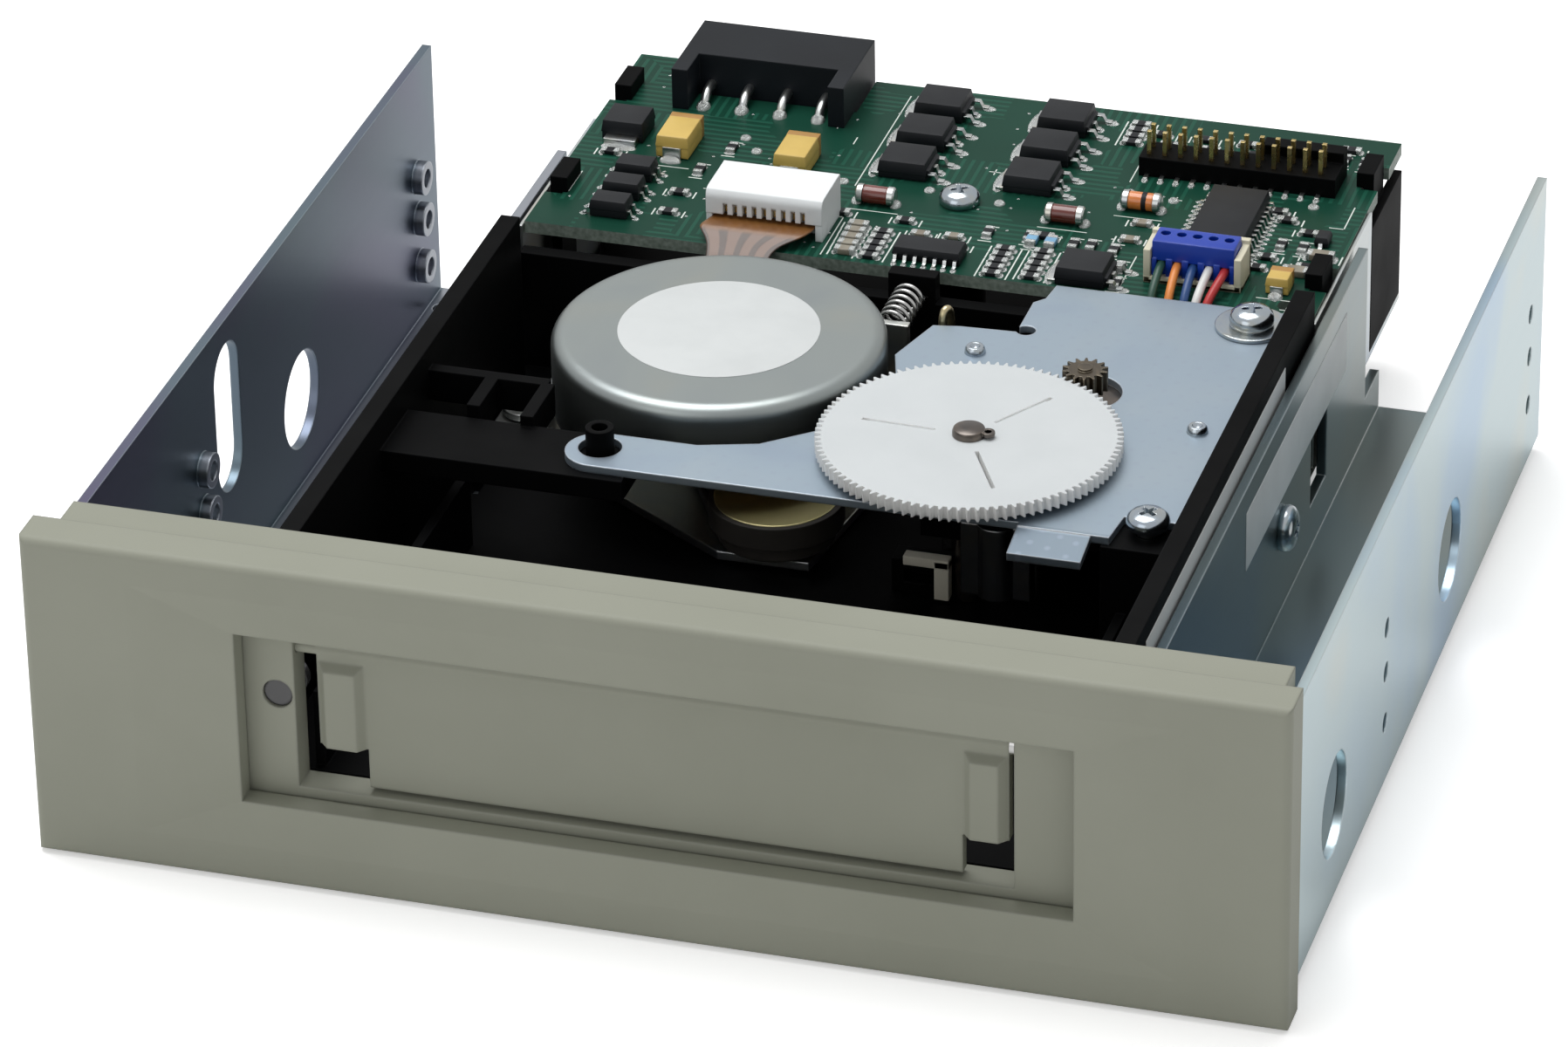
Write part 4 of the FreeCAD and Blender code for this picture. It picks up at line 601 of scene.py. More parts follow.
def chip_part(shape, x, y, along="x", long=2.0, wide=1.25, high=0.55):
    """One two-ended part with a solder fillet and a printed line at each end."""
    add_pad(shape, x, y, *turned(along, long - 0.7, wide), 0.05, high, 0.05)
    for way in (-1, 1):
        dx, dy = turned(along, way * long * 0.42, 0)
        cap = turned(along, 0.75, wide * 0.95)
        add_pad(solder_shape, x + dx, y + dy, *cap, 0.02, high + 0.04, 0.12)
        solder_blob(x + dx * 1.35, y + dy * 1.35, cap[0] * 1.25, cap[1] * 1.15, 0.22)
        end, half = way * (long / 2 + 0.95), wide * 0.62
        printed_line([(x + a, y + b) for a, b in (turned(along, end, -half),
                                                  turned(along, end, half))], 0.2)


# left of the middle package: five ceramics and five resistors in two columns
for i in range(5):
    chip_part(ceramic_shape, -9.6 + 0.05 * i, 119.8 - 1.75 * i, "x", 2.2, 1.3, 0.8)
    chip_part(resistor_shape, -6.2, 119.0 - 1.65 * i, "x", 2.0, 1.2)
# right of it: two columns of resistors
for i in range(5):
    chip_part(resistor_shape, 9.6, 118.4 - 1.65 * i, "x", 2.0, 1.2)
    chip_part(resistor_shape, 14.4, 118.8 - 1.65 * i, "x", 2.0, 1.2)
for x, y, way in (
        (-1.6, 119.6, "x"), (2.6, 120.0, "x"), (6.4, 122.2, "y"), (3.6, 117.6, "x"),
        (-4.4, 122.6, "x"), (17.4, 121.8, "y"), (19.6, 122.0, "y"), (11.6, 122.4, "y"),
        (22.6, 121.6, "y"), (23.8, 124.8, "x"), (24.2, 129.4, "x"), (24.4, 117.4, "y"),
        (25.0, 113.2, "y"), (13.4, 123.0, "x")):
    chip_part(ceramic_shape if (x > 16) == (y > 122) else resistor_shape, x, y, way)
for x in (12.2, 14.6):
    chip_part(blue_shape, x, 121.4, "y", 2.2, 1.4, 0.75)
# behind and beside the pin header, and near the right edge
for i in range(4):
    chip_part(resistor_shape, 17.4, 150.6 + 1.7 * i)
    chip_part(resistor_shape, 22.2 + 5.4 * i, 151.0)
    chip_part(resistor_shape, 20.6 + 5.6 * i, 153.6)
for x, y, way in (
        (44.6, 152.6, "y"), (47.2, 152.2, "y"), (44.8, 155.4, "x"), (41.2, 152.8, "y"),
        (41.4, 134.8, "x"), (44.8, 132.0, "x"), (42.2, 128.2, "y"), (45.0, 128.0, "y"),
        (41.2, 124.6, "x"), (40.6, 121.6, "x"), (46.4, 123.2, "x"), (39.8, 136.8, "x"),
        (-33.6, 117.4, "x"), (-33.2, 129.4, "y"), (-31.0, 136.2, "y"), (-45.6, 131.4, "x"),
        (-12.8, 122.8, "x"), (-33.8, 122.8, "x")):
    chip_part(resistor_shape, x, y, way)
for x, y in ((45.6, 121.4), (47.6, 126.2)):
    chip_part(ceramic_shape, x, y, "x", 3.2, 1.7, 0.9)

chip_skin = moulded(
    "chip_epoxy", (0.0070, 0.0085, 0.0110), (0.0050, 0.0060, 0.0080), (0.035, 0.040, 0.046), 0.5,
    grain=0.15, depth=0.01, width=0.15, wear_and_highlight=0.35, mottle=4.0, Specular_IOR_Level=0.25)
ceramic = moulded(
    "ceramic_body", (0.20, 0.17, 0.13), (0.30, 0.28, 0.22), (0.35, 0.33, 0.28), 0.45, grain=0.2,
    depth=0.005, mottle=2.5)
blue_ceramic = moulded(
    "blue_ceramic", (0.20, 0.42, 0.62), (0.16, 0.34, 0.52), (0.4, 0.6, 0.75), 0.45, grain=0.2,
    depth=0.005, mottle=2.5)
add_piece("chip_resistors", resistor_shape, chip_skin, slot="chip_black")
add_piece("chip_capacitors", ceramic_shape, ceramic, slot="cream_plastic")
add_piece("blue_capacitors", blue_shape, blue_ceramic, slot="blue_plastic")

# --- power transistors and chips
# Black epoxy packages: power transistors with a tab behind and three legs on the
# right, gull-winged chips, and block diodes at the left.
leg_shape, package_shape = bmesh.new(), bmesh.new()


def gull_leg(x, y, way, wide=0.42, rise=1.1, run=1.5, along="x"):
    """A bent leg from a package's side down to its pad; way is +1 or -1 along the axis."""
    rows = []
    for reach, height in ((0.0, rise), (run * 0.42, rise), (run * 0.62, 0.2), (run, 0.16)):
        row = []
        for side in (-1, 1):
            for lift in (0, 0.16):
                dx, dy = turned(along, way * reach, side * wide / 2)
                row.append(leg_shape.verts.new(at(x + dx, y + dy, board_z + height + lift)))
        rows.append(row)
    for a, b in zip(rows, rows[1:]):
        for i, j in ((0, 1), (1, 3), (3, 2), (2, 0)):
            leg_shape.faces.new((a[i], a[j], b[j], b[i]))
    for end in (rows[0], rows[-1]):
        leg_shape.faces.new([end[i] for i in (0, 1, 3, 2)])
    dx, dy = turned(along, way * run, 0)
    solder_blob(x + dx, y + dy, *turned(along, run * 0.9, wide * 1.7), 0.2)


def package(x, y, wide, deep, high, stand=0.12, slope=0.22, waist=0.45):
    """A moulded package with drafted sides above and below its parting line."""
    middle = stand + (high - stand) * waist
    add_pad(package_shape, x, y, wide, deep, middle, high, 0.06, slope)
    add_pad(package_shape, x, y, wide - slope, deep - slope, stand, middle + 0.02, 0.04)


for x, y in ((-8.0, 153.2), (-8.0, 144.8), (-8.0, 136.4), (8.2, 153.2), (8.2, 144.8),
             (8.2, 136.4), (20.8, 114.2)):
    package(x, y, 6.4, 5.9, 2.4, stand=0.1, slope=0.25, waist=0.35)
    add_pad(package_shape, x + 2.95, y, 1.1, 4.8, 0.5, 1.5, 0.06)
    add_pad(leg_shape, x - 3.35, y, 1.5, 5.2, 0.02, 0.55, 0.08)
    solder_blob(x - 3.9, y, 1.9, 6.2, 0.35)
    for offset, run in ((-2.28, 2.0), (0.0, 1.1), (2.28, 2.0)):
        gull_leg(x + 3.4, y + offset, 1, wide=0.8, rise=0.95, run=run)
for i in range(7):
    for way, y in ((-1, 112.75), (1, 116.35)):
        gull_leg(-2.81 + 1.27 * i, y, way, wide=0.45, rise=0.75, run=1.25, along="y")
package(1.0, 114.55, 8.7, 3.9, 1.75)
for i in range(12):
    for way, x in ((-1, 31.1), (1, 38.4)):
        gull_leg(x, 123.2 + 1.27 * i, way, wide=0.45, rise=1.0, run=1.4)
package(34.75, 130.2, 7.4, 15.6, 2.5)
for y in (126.1, 120.9, 115.7):
    package(-40.5, y, 4.9, 3.3, 2.3)
    for way, x in ((-1, -42.8), (1, -38.2)):
        gull_leg(x, y - 0.9, way, wide=0.5, rise=0.9, run=1.1)
        gull_leg(x, y + 0.9, way, wide=0.5, rise=0.9, run=1.1)
package(-45.1, 137.4, 5.6, 5.4, 2.7, waist=0.4)
for y, deep in ((134.15, 1.5), (140.55, 1.3)):
    add_pad(leg_shape, -45.1, y, 4.2, deep, 0.02, 0.9, 0.1)
solder_blob(-45.1, 133.1, 4.8, 1.8, 0.45)
package(47.0, 130.2, 1.9, 2.6, 1.4, waist=0.4)
for way in (-1, 1):
    gull_leg(47.0, 130.2 + way * 1.2, way, wide=0.5, rise=0.6, run=0.9, along="y")
add_piece("packages", package_shape, chip_skin, "power_transistors", "logic_chips",
          slot="chip_black")

tinned = plated(
    "tinned_legs", (0.56, 0.58, 0.57), (0.44, 0.46, 0.48), (0.52, 0.50, 0.45), 0.28, cloud=1.6,
    streaks=0.1, width=0.06)
add_piece("tinned_legs", leg_shape, tinned, slot="pin_metal")

# --- tantalum capacitors
# Ochre moulded blocks with a browner band at the positive end, tin straps folded under
# both ends and a fillet of solder in front of each.
tantalum_skin = moulded(
    "tantalum_resin", (0.66, 0.46, 0.115), (0.58, 0.40, 0.095), (0.85, 0.62, 0.25), 0.42,
    grain=0.3, depth=0.01, width=0.25, mottle=5.0)
band_skin = moulded(
    "tantalum_band", (0.42, 0.22, 0.05), (0.36, 0.19, 0.045), (0.6, 0.38, 0.12), 0.42, grain=0.3,
    depth=0.01, width=0.2, mottle=4.0)
resin, bands, straps = bmesh.new(), bmesh.new(), bmesh.new()
for x, y, wide, long, high in ((-37.6, 135.4, 4.4, 7.2, 3.0), (-21.8, 134.2, 4.4, 7.2, 3.0),
                               (44.6, 117.4, 3.0, 3.6, 2.2)):
    half = high / 2
    add_pad(resin, x, y - 0.55, wide, long - 1.1, half, high, 0.1, 0.18)
    add_pad(resin, x, y - 0.51, wide - 0.16, long - 1.18, 0.1, half + 0.02, 0.06)
    add_pad(bands, x, y + long / 2 - 0.675, wide - 0.2, 1.25, 0.1, high - 0.03, 0.1)
    for way, fillet in ((-1, 0.75), (1, 0.4)):
        end = y + way * long / 2
        add_pad(straps, x, end + way * 0.1, wide * 0.54, 0.2, 0.05, half + 0.1, 0.05)
        solder_blob(x, end + way * 0.75, wide * 0.66, 1.7, fillet)
add_piece("tantalum_blocks", resin, tantalum_skin, "tantalum_capacitors",
          slot="tantalum_yellow")
add_piece("tantalum_bands", bands, band_skin, slot="tantalum_yellow")
add_piece("tantalum_straps", straps, tinned, slot="pin_metal")

# --- glass diodes
# Round glass bodies between tin caps: two dark red, one orange with a black band.  They
# lie on the board between two fillets of solder.
glass_shape, orange_shape, band_shape, cap_shape = (bmesh.new() for _ in range(4))
for x, y, shape in ((-9.3, 126.6, glass_shape), (14.8, 127.6, glass_shape),
                    (23.1, 133.4, orange_shape)):
    middle = at(x, y, board_z + 1.2)
    turn_profile(shape, [(0, -1.7), (0.95, -1.66), (1.15, -1.5), (1.15, 1.5), (0.95, 1.66),
                         (0, 1.7)], middle, axis="x", steps=24)
    for way in (-1, 1):
        cap = [(0, 2.55), (1.0, 2.5), (1.22, 2.3), (1.25, 1.6), (0, 1.6)]
        turn_profile(cap_shape, [(radius, way * along) for radius, along in cap], middle,
                     axis="x", steps=24)
        solder_blob(x + way * 2.5, y, 1.5, 2.0, 0.7)
turn_profile(band_shape, [(1.12, 0.1), (1.19, 0.12), (1.19, 0.72), (1.12, 0.74)],
             at(23.1, 133.4, board_z + 1.2), axis="x", steps=24)
red_glass = moulded(
    "red_glass", (0.15, 0.018, 0.009), (0.10, 0.012, 0.006), (0.4, 0.12, 0.06), 0.2, grain=0.5,
    depth=0.004, mottle=3.0, Coat_Weight=0.5)
orange_glass = moulded(
    "orange_glass", (0.72, 0.22, 0.04), (0.58, 0.15, 0.03), (0.9, 0.5, 0.2), 0.2, grain=0.5,
    depth=0.004, mottle=3.0, Coat_Weight=0.5)
add_piece("red_diodes", glass_shape, red_glass, "glass_diodes", slot="diode_red")
add_piece("orange_diode", orange_shape, orange_glass, slot="tantalum_yellow")
add_piece("diode_band", band_shape, chip_skin, slot="chip_black")
add_piece("diode_caps", cap_shape, tinned, slot="pin_metal")


# --- power connector
# Slate-black nylon block, open behind, between two forward arms.  Its four tin-plated
# legs bend down to pads with thick fillets of solder.
def drawn_wire(name, radius, routes, order=3, caps=False):
    """A curve of round wire, drawn along routes of places in the scene."""
    curve = bpy.data.curves.new(name, "CURVE")
    curve.dimensions = "3D"
    curve.bevel_depth = radius / 1000
    curve.bevel_resolution = 4
    curve.use_fill_caps = caps
    for route in routes:
        line = curve.splines.new("NURBS")
        line.points.add(len(route) - 1)
        for point, place in zip(line.points, route):
            point.co = (*place, 1)
        line.order_u = order
        line.use_endpoint_u = True
    return curve


slate = moulded(
    "slate_nylon", (0.0060, 0.0085, 0.0120), (0.0045, 0.0060, 0.0085), (0.022, 0.028, 0.035), 0.5,
    grain=0.5, width=0.3, wear_and_highlight=0.35, Specular_IOR_Level=0.2)
dress(slate, "power_connector")
low, high = span("power_pins")
socket_low, socket_high = span("power_connector")
wall = socket_low.y + 5.1
pin_pitch = 5.08
posts, leg_routes = bmesh.new(), []
for i in range(4):
    x = (low.x + high.x) / 2 + (i - 1.5) * pin_pitch
    turn_profile(posts, [(0, -6.2), (1.05, -6.2), (1.05, -1.2), (0.5, 0), (0, 0)],
                 at(x, high.y, (socket_low.z + socket_high.z) / 2), axis="y", steps=24)
    leg_routes.append([at(x, wall + reach, board_z + rise) for reach, rise in (
        (0.5, 1.5), (-1.2, 1.5), (-2.4, 1.3), (-3.4, 0.5), (-3.9, -0.2))])
    solder_blob(x, wall - 3.9, 1.9, 2.4, 0.9)
add_piece("power_posts", posts, tinned, "power_pins", slot="pin_metal")
add_piece("power_legs", drawn_wire("power_legs", 0.62, leg_routes), tinned, slot="pin_metal")

# --- interface connector
# Black shrouded header under the board's rear edge, moulded in the same nylon, with two
# rows of gold-plated posts.
dress(slate, "interface_connector")
aged_gold = plated(
    "aged_gold", (0.58, 0.44, 0.17), (0.42, 0.33, 0.15), (0.72, 0.60, 0.30), 0.25, cloud=2.5,
    streaks=0.2, width=0.08, edge=(0.8, 0.68, 0.4))
dress(aged_gold, "interface_pins")

# --- jumper header
# Two rows of tall square gold posts in a black base, with a black cap on some of them
# and small feet soldered in front.
dress(chassis_black, "jumper_header")
dress(aged_gold, "jumper_pins")
low, high = span("jumper_pins")
front_y = span("jumper_header")[0].y
feet = bmesh.new()
for i in range(12):
    x = low.x + 0.28 + i * (high.x - low.x - 0.55) / 11
    add_pad(feet, x, front_y - 0.45, 0.6, 1.3, 0.02, 0.35, 0.06)
    solder_blob(x, front_y - 1.2, 0.9, 1.3, 0.3)
add_piece("jumper_feet", feet, tinned, slot="pin_metal")

# --- flex socket and cable
# White nylon socket with nine sprung contacts in its mouth.  The polyimide cable is
# copper-brown and narrows as it bends down over the board's edge to the motor.
white_nylon = moulded(
    "white_nylon", (0.86, 0.89, 0.90), (0.82, 0.85, 0.86), (0.84, 0.86, 0.86), 0.42, grain=0.4,
    depth=0.01, width=0.25, wear_and_highlight=0.3, Subsurface_Weight=0.15,
    Subsurface_Radius=(0.002, 0.002, 0.002))
(left, near, _), (right, far, top) = span("flex_socket")


def prism(outlines):
    """A closed form between two outlines with as many points each, given in millimetres."""
    shape = bmesh.new()
    ends = [[shape.verts.new(at(*point)) for point in outline] for outline in outlines]
    for end in ends:
        shape.faces.new(end)
    for i in range(len(ends[0])):
        shape.faces.new((ends[0][i - 1], ends[0][i], ends[1][i], ends[1][i - 1]))
    return shape


# a solid hood over the mouth, sawn into teeth between the nine contacts
section = [(far, board_z), (far, top - 0.2), (far - 0.2, top), (near + 1.1, top),
           (near + 0.5, top - 0.15), (near + 0.12, top - 0.6), (near, top - 1.2),
           (near, top - 3.3), (near + 2.2, top - 3.3), (near + 2.2, board_z)]
saw, contacts, blades = bmesh.new(), bmesh.new(), bmesh.new()
pitch, ways = 1.25, 9
for i in range(ways):
    x = (left + right) / 2 + (i - (ways - 1) / 2) * pitch
    for shape, half, front, back, under, over, bevel in (
            (saw, 0.29, -1, 1.3, 4, 1.75, 0), (contacts, 0.26, 0.05, 0.6, 2.05, 1.78, 0.06),
            (blades, 0.22, 0.8, 1.25, 3.3, 2.0, 0.05)):
        add_block(shape, (x - half, near + front, top - under),
                  (x + half, near + back, top - over), bevel)
    solder_blob(x, far + 0.5, 0.7, 1.4, 0.3)
hood = carve("flex_socket_hood", prism([[(x, *spot) for spot in section] for x in (left, right)]),
             saw)
for low_x, high_x in ((left, left + 0.75), (right - 0.95, right)):
    add_block(hood, (low_x, near + 0.1, board_z), (high_x, near + 2.4, top - 3.2), 0.08)
add_piece("flex_socket_white", hood, white_nylon, "flex_socket", slot="white_plastic")
add_piece("flex_contacts", contacts, tinned, slot="pin_metal")
add_piece("flex_blades", blades, aged_gold, slot="gold")

flex_skin, tree, skin = start_material("polyimide_copper", Roughness=0.4, Coat_Weight=0.15)
where = put(tree, "TexCoord", out="UV")
bend = put(tree, "TexWave", {"Vector": where, "Scale": 1.3, "Distortion": 0.6, "Detail": 1.0,
                             "Detail Scale": 1.0}, out="Fac", bands_direction="X")
lines = fit(tree, bend, 0.2, 0.5)
laid = mix(tree, lines, (0.060, 0.036, 0.026), (0.170, 0.100, 0.070))
bare = put(tree, "TexNoise", {"Vector": where, "Scale": 7.0, "Detail": 2.0})
amber = mix(tree, bare, (0.120, 0.044, 0.008), (0.250, 0.105, 0.024))
past_fold = fit(tree, put(tree, "SeparateXYZ", {0: where}, out=1), 0.28, 0.36)
set_inputs(tree, skin, {
    "Base Color": mix(tree, past_fold, amber, laid),
    "Normal": put(tree, "Bump", {"Height": lines, "Strength": 0.4, "Distance": 0.00004})})
flex = bmesh.new()
uv = flex.loops.layers.uv.new()
# (y before the mouth, z over the board, left and right edge drawn in) down the cable: out
# of the mouth, over the fold, then narrowing as it drops and runs under the rotor
rows, across = [], 10
for y, z, start, end in (
        (1.4, 1.75, 0.8, 1.0), (0.2, 1.72, 0.8, 1.0), (-1.2, 1.70, 0.2, 1.4),
        (-2.2, 1.55, -0.2, 2.0), (-2.7, 1.25, 0.1, 2.8), (-3.4, 0.95, 0.8, 3.9),
        (-4.4, 0.6, 1.4, 4.8), (-5.6, 0.2, 1.8, 5.2), (-7.2, -0.8, 2.0, 5.4),
        (-8.8, -2.2, 2.2, 5.6), (-9.8, -4.6, 2.2, 5.6)):
    wide = right - end - (left + start)
    rows.append([flex.verts.new(at(left + start + wide * j / across, near + y, board_z + z))
                 for j in range(across + 1)])
for i, (a, b) in enumerate(zip(rows, rows[1:])):
    for j in range(across):
        face = flex.faces.new((a[j], a[j + 1], b[j + 1], b[j]))
        for loop, (u, v) in zip(face.loops, ((j, i), (j + 1, i), (j + 1, i + 1), (j, i + 1))):
            loop[uv].uv = (u / across, v / len(rows))
flex_mesh = bpy.data.meshes.new("flex_ribbon")
flex.to_mesh(flex_mesh)
flex.free()
ribbon = add_piece("flex_ribbon", flex_mesh, flex_skin, "flex_cable", slot="flex_copper")
smoother = ribbon.modifiers.new("bend", "SUBSURF")
smoother.levels = smoother.render_levels = 2
thicken = ribbon.modifiers.new("thickness", "SOLIDIFY")
thicken.thickness = 0.0002
thicken.offset = 0

# --- stepper's plug, header and wires
# A blue five-way plug with open crimp windows sits in a cream header.  Five limp wires
# leave its front and run under the plate to the stepper.
cream = moulded(
    "cream_nylon", (0.72, 0.68, 0.52), (0.66, 0.62, 0.47), (0.82, 0.79, 0.66), 0.45, grain=0.4,
    depth=0.01, width=0.2)
blue = moulded(
    "blue_nylon", (0.004, 0.042, 0.40), (0.003, 0.032, 0.32), (0.04, 0.13, 0.60), 0.35, grain=0.4,
    depth=0.01, width=0.2)
left, right, near, far = 28.0, 40.3, 114.8, 120.2
add_piece("cream_header", blocks_of(
    ((left, near, board_z), (left + 0.9, far, board_z + 4.5)),
    ((right - 0.9, near, board_z), (right, far, board_z + 4.5)),
    ((left, far - 0.9, board_z), (right, far, board_z + 5.0)),
    ((left, near, board_z), (right, near + 0.9, board_z + 0.9)),
    ((left, near, board_z), (right, far, board_z + 0.6)), bevel=0.14),
    cream, "stepper_header", slot="cream_plastic")
pitch = 2.0
first = left + 2.15
drill = bmesh.new()
for i in range(5):
    turn_profile(drill, [(0, -2), (0.62, -2), (0.62, 2), (0, 2)],
                 at(first + i * pitch, near + 2.9, board_z + 5.6), steps=20)
plug = carve("blue_slab", blocks_of(((left + 0.95, near + 0.5, board_z + 2.9),
                                     (right - 0.95, far - 0.95, board_z + 5.6)), bevel=0.3), drill)
add_block(plug, (left + 1.0, near + 1.5, board_z + 0.6),
          (right - 1.0, far - 1.0, board_z + 3.1), 0.1)
for i in range(6):
    x = first + (i - 0.5) * pitch
    add_block(plug, (max(left + 0.95, x - 0.42), near + 0.35, board_z + 0.9),
              (min(right - 0.95, x + 0.42), near + 2.0, board_z + 3.3), 0.14)
add_piece("blue_plug", plug, blue, "stepper_plug", slot="blue_plastic")

for i, (word, colour, drift) in enumerate((
        ("green", (0.02, 0.075, 0.05), 0.1), ("orange", (0.75, 0.25, 0.05), -0.1),
        ("blue", (0.02, 0.07, 0.22), 0.0), ("white", (0.78, 0.78, 0.76), 0.6),
        ("red", (0.48, 0.03, 0.03), 1.3))):
    cover = moulded(
        word + "_insulation", colour, tuple(part * 0.8 for part in colour),
        tuple(min(1, part * 1.25 + 0.04) for part in colour), 0.38, grain=0.6, depth=0.006,
        width=0.1, mottle=4.0)
    route = [at(first + i * pitch - drift * share, y, board_z + rise) for y, rise, share in (
        (near + 1.6, 2.5, 0), (near + 0.4, 2.45, 0), (near - 1.4, 1.9, 0.25), (111.4, 0.8, 0.7),
        (110.0, -0.6, 1), (108.4, -1.2, 1), (99, -1.2, 1))]
    replaced = ["stepper_wires"] if i == 0 else []
    add_piece(word + "_wire", drawn_wire(word + "_wire", 0.55, [route]), cover, *replaced,
              slot="wire_plastic")

# --- capstan motor
# Deep-drawn steel rotor cup, satin nickel-plated, with a blank paper disc on its lid.
# Under it are the wound stator, a sprung bracket, the belt and the brass puck.
# the wide edge band (0.8 mm, amount 0.6) paints a highlight along the rotor cup's rim
satin_nickel_rim_highlight = plated(
    "satin_nickel_rim_highlight", (0.32, 0.35, 0.345), (0.30, 0.33, 0.335), (0.34, 0.36, 0.34), 0.36, cloud=16.0,
    streaks=0.12, edge=(0.6, 0.61, 0.6), width=0.8, wear_and_highlight=0.6)
dress(satin_nickel_rim_highlight, "motor_rotor")
# the disc's paper is a greyer copy of the labels' paper: painted shade that keeps it from glaring
# under the overhead lamp
paper_painted_dim = moulded(
    "label_paper_painted_dim", (0.62, 0.645, 0.645), (0.58, 0.605, 0.605), (0.70, 0.71, 0.71), 0.5, grain=0.12,
    depth=0.006, wear_and_highlight=0.2, width=0.1, mottle=6.0)
low, high = span("motor_rotor")
disc = bmesh.new()
turn_profile(disc, [(0, 0.07), (12.1, 0.07), (12.25, 0.03), (12.25, 0.0)],
             at((low.x + high.x) / 2, (low.y + high.y) / 2, high.z), steps=96)
add_piece("blank_disc", disc, paper_painted_dim, body="rotor", slot="white_plastic")

bracket_zinc = plated(
    "bracket_zinc", (0.60, 0.62, 0.60), (0.52, 0.56, 0.60), (0.66, 0.62, 0.50), 0.3, cloud=9.0)
dress(bracket_zinc, "motor_cradle", "cradle_pin")
dress(screw_zinc, "puck_axle", "drive_pulley")

stator_skin, tree, skin = start_material("wound_stator", Metallic=0.7, Roughness=0.35)
turns = put(tree, "TexWave", {"Vector": put(tree, "TexCoord", out="Object"), "Scale": 700.0,
                              "Distortion": 2.0}, out="Fac", bands_direction="Z")
set_inputs(tree, skin, {
    "Base Color": mix(tree, turns, (0.18, 0.07, 0.03), (0.46, 0.20, 0.09)),
    "Normal": put(tree, "Bump", {"Height": turns, "Strength": 0.6, "Distance": 0.0001})})
dress(stator_skin, "motor_stator")

turned_brass = plated(
    "turned_brass", (0.86, 0.80, 0.40), (0.74, 0.70, 0.38), (0.92, 0.84, 0.46), 0.42, cloud=7.0,
    streaks=0.15, edge=(0.8, 0.7, 0.4))
dress(turned_brass, "capstan_puck")
tyre = moulded(
    "tyre_rubber", (0.035, 0.031, 0.027), (0.026, 0.023, 0.020), (0.07, 0.065, 0.06), 0.62,
    grain=0.25, depth=0.015, mottle=3.0)
dress(tyre, "puck_tyre", "drive_belt")

# --- cradle spring
# Bright compression spring with six turns, between the chassis's cross wall and the
# motor's bracket.
low, high = span("cradle_spring")
turns, steps, wire = 6, 12, 0.3
radius = (high.x - low.x) / 2 - wire
winding = [at((low.x + high.x) / 2 + radius * math.cos(2 * math.pi * i / steps),
              low.y + wire + (high.y - low.y - 2 * wire) * i / (turns * steps),
              (low.z + high.z) / 2 + radius * math.sin(2 * math.pi * i / steps))
           for i in range(turns * steps + 1)]
add_piece("bright_coil", drawn_wire("bright_coil", 0.26, [winding], order=4), spring_steel,
          "cradle_spring", body="cradle", slot="spring_steel")

# --- positioner plate
# Hot-dip galvanised sheet, pierced and bent, with a faint regular dimple from its
# feeding rolls.  Two rivets hold the stepper under it; a wire hook stands in its notch.
plate_skin_painted_tab_shade = plated(
    "galvanised_plate_painted_tab_shade", (0.315, 0.380, 0.440), (0.298, 0.360, 0.430), (0.330, 0.390, 0.440), 0.46,
    cloud=16.0, streaks=0.2, depth=0.003, edge=(0.85, 0.86, 0.88), metal=0.85,
    # the bent-down front tab, y 51.3 to 50.2 mm, is painted darker: painted shade over its
    # reflection of the front lamp
    shade={"Shade": (0.09, 0.115, 0.14), "Start": at(0, 51.3, 0).y, "End": at(0, 50.2, 0).y,
           "Most": 0.72, "Along Y": 1.0})


def tint(material, share, colour):
    """Lays a colour over a finished material where its share, given its tree, says so."""
    tree = material.node_tree
    entry = tree.nodes["Principled BSDF"].inputs["Base Color"]
    base = entry.links[0].from_socket
    tree.links.new(mix(tree, share(tree), base, colour), entry)


def dimples(tree):
    """A quarter share in small round dimples that stand in rows."""
    grid = put(tree, "Mapping", {"Vector": put(tree, "TexCoord", out="Object"),
                                 "Scale": (1, 1, 0.0001), "Rotation": (0, 0, 0.35)})
    away = put(tree, "TexVoronoi", {"Vector": grid, "Scale": 420.0, "Randomness": 0.12})
    return fit(tree, away, 0.10, 0.22, 0.25, 0.0)


tint(plate_skin_painted_tab_shade, dimples, (0.30, 0.34, 0.41))
dress(plate_skin_painted_tab_shade, "positioner_plate")

low, high = span("plate_rivets")
domes, rivet_r = bmesh.new(), 1.3
for place in (at(low.x + rivet_r, high.y - rivet_r, plate_z),
              at(high.x - rivet_r, low.y + rivet_r, plate_z)):
    turn_profile(domes, [(0, 0.35), (0.35, 0.55), (0.7, 0.95), (1.0, 0.9), (1.22, 0.6),
                         (rivet_r, 0.0)], place, steps=28)
    turn_profile(domes, [(0, -1.9), (0.9, -1.9), (0.9, 0.0)], place, steps=20)
add_piece("rolled_rivets", domes, screw_zinc, "plate_rivets", slot="screw_steel")

hook_brass = plated(
    "hook_brass", (0.50, 0.42, 0.26), (0.42, 0.38, 0.28), (0.6, 0.52, 0.32), 0.25, cloud=3.0)
loop = [at(*spot) for spot in (
    (7.6, 96.6, 27.5), (7.6, 96.7, 29.6), (7.6, 96.9, 31.4), (7.9, 97.5, 32.0),
    (8.2, 98.2, 31.4), (8.2, 98.4, 29.6), (8.2, 98.4, 27.5))]
add_piece("wire_hook", drawn_wire("wire_hook", 0.5, [loop], caps=True), hook_brass, slot="brass")

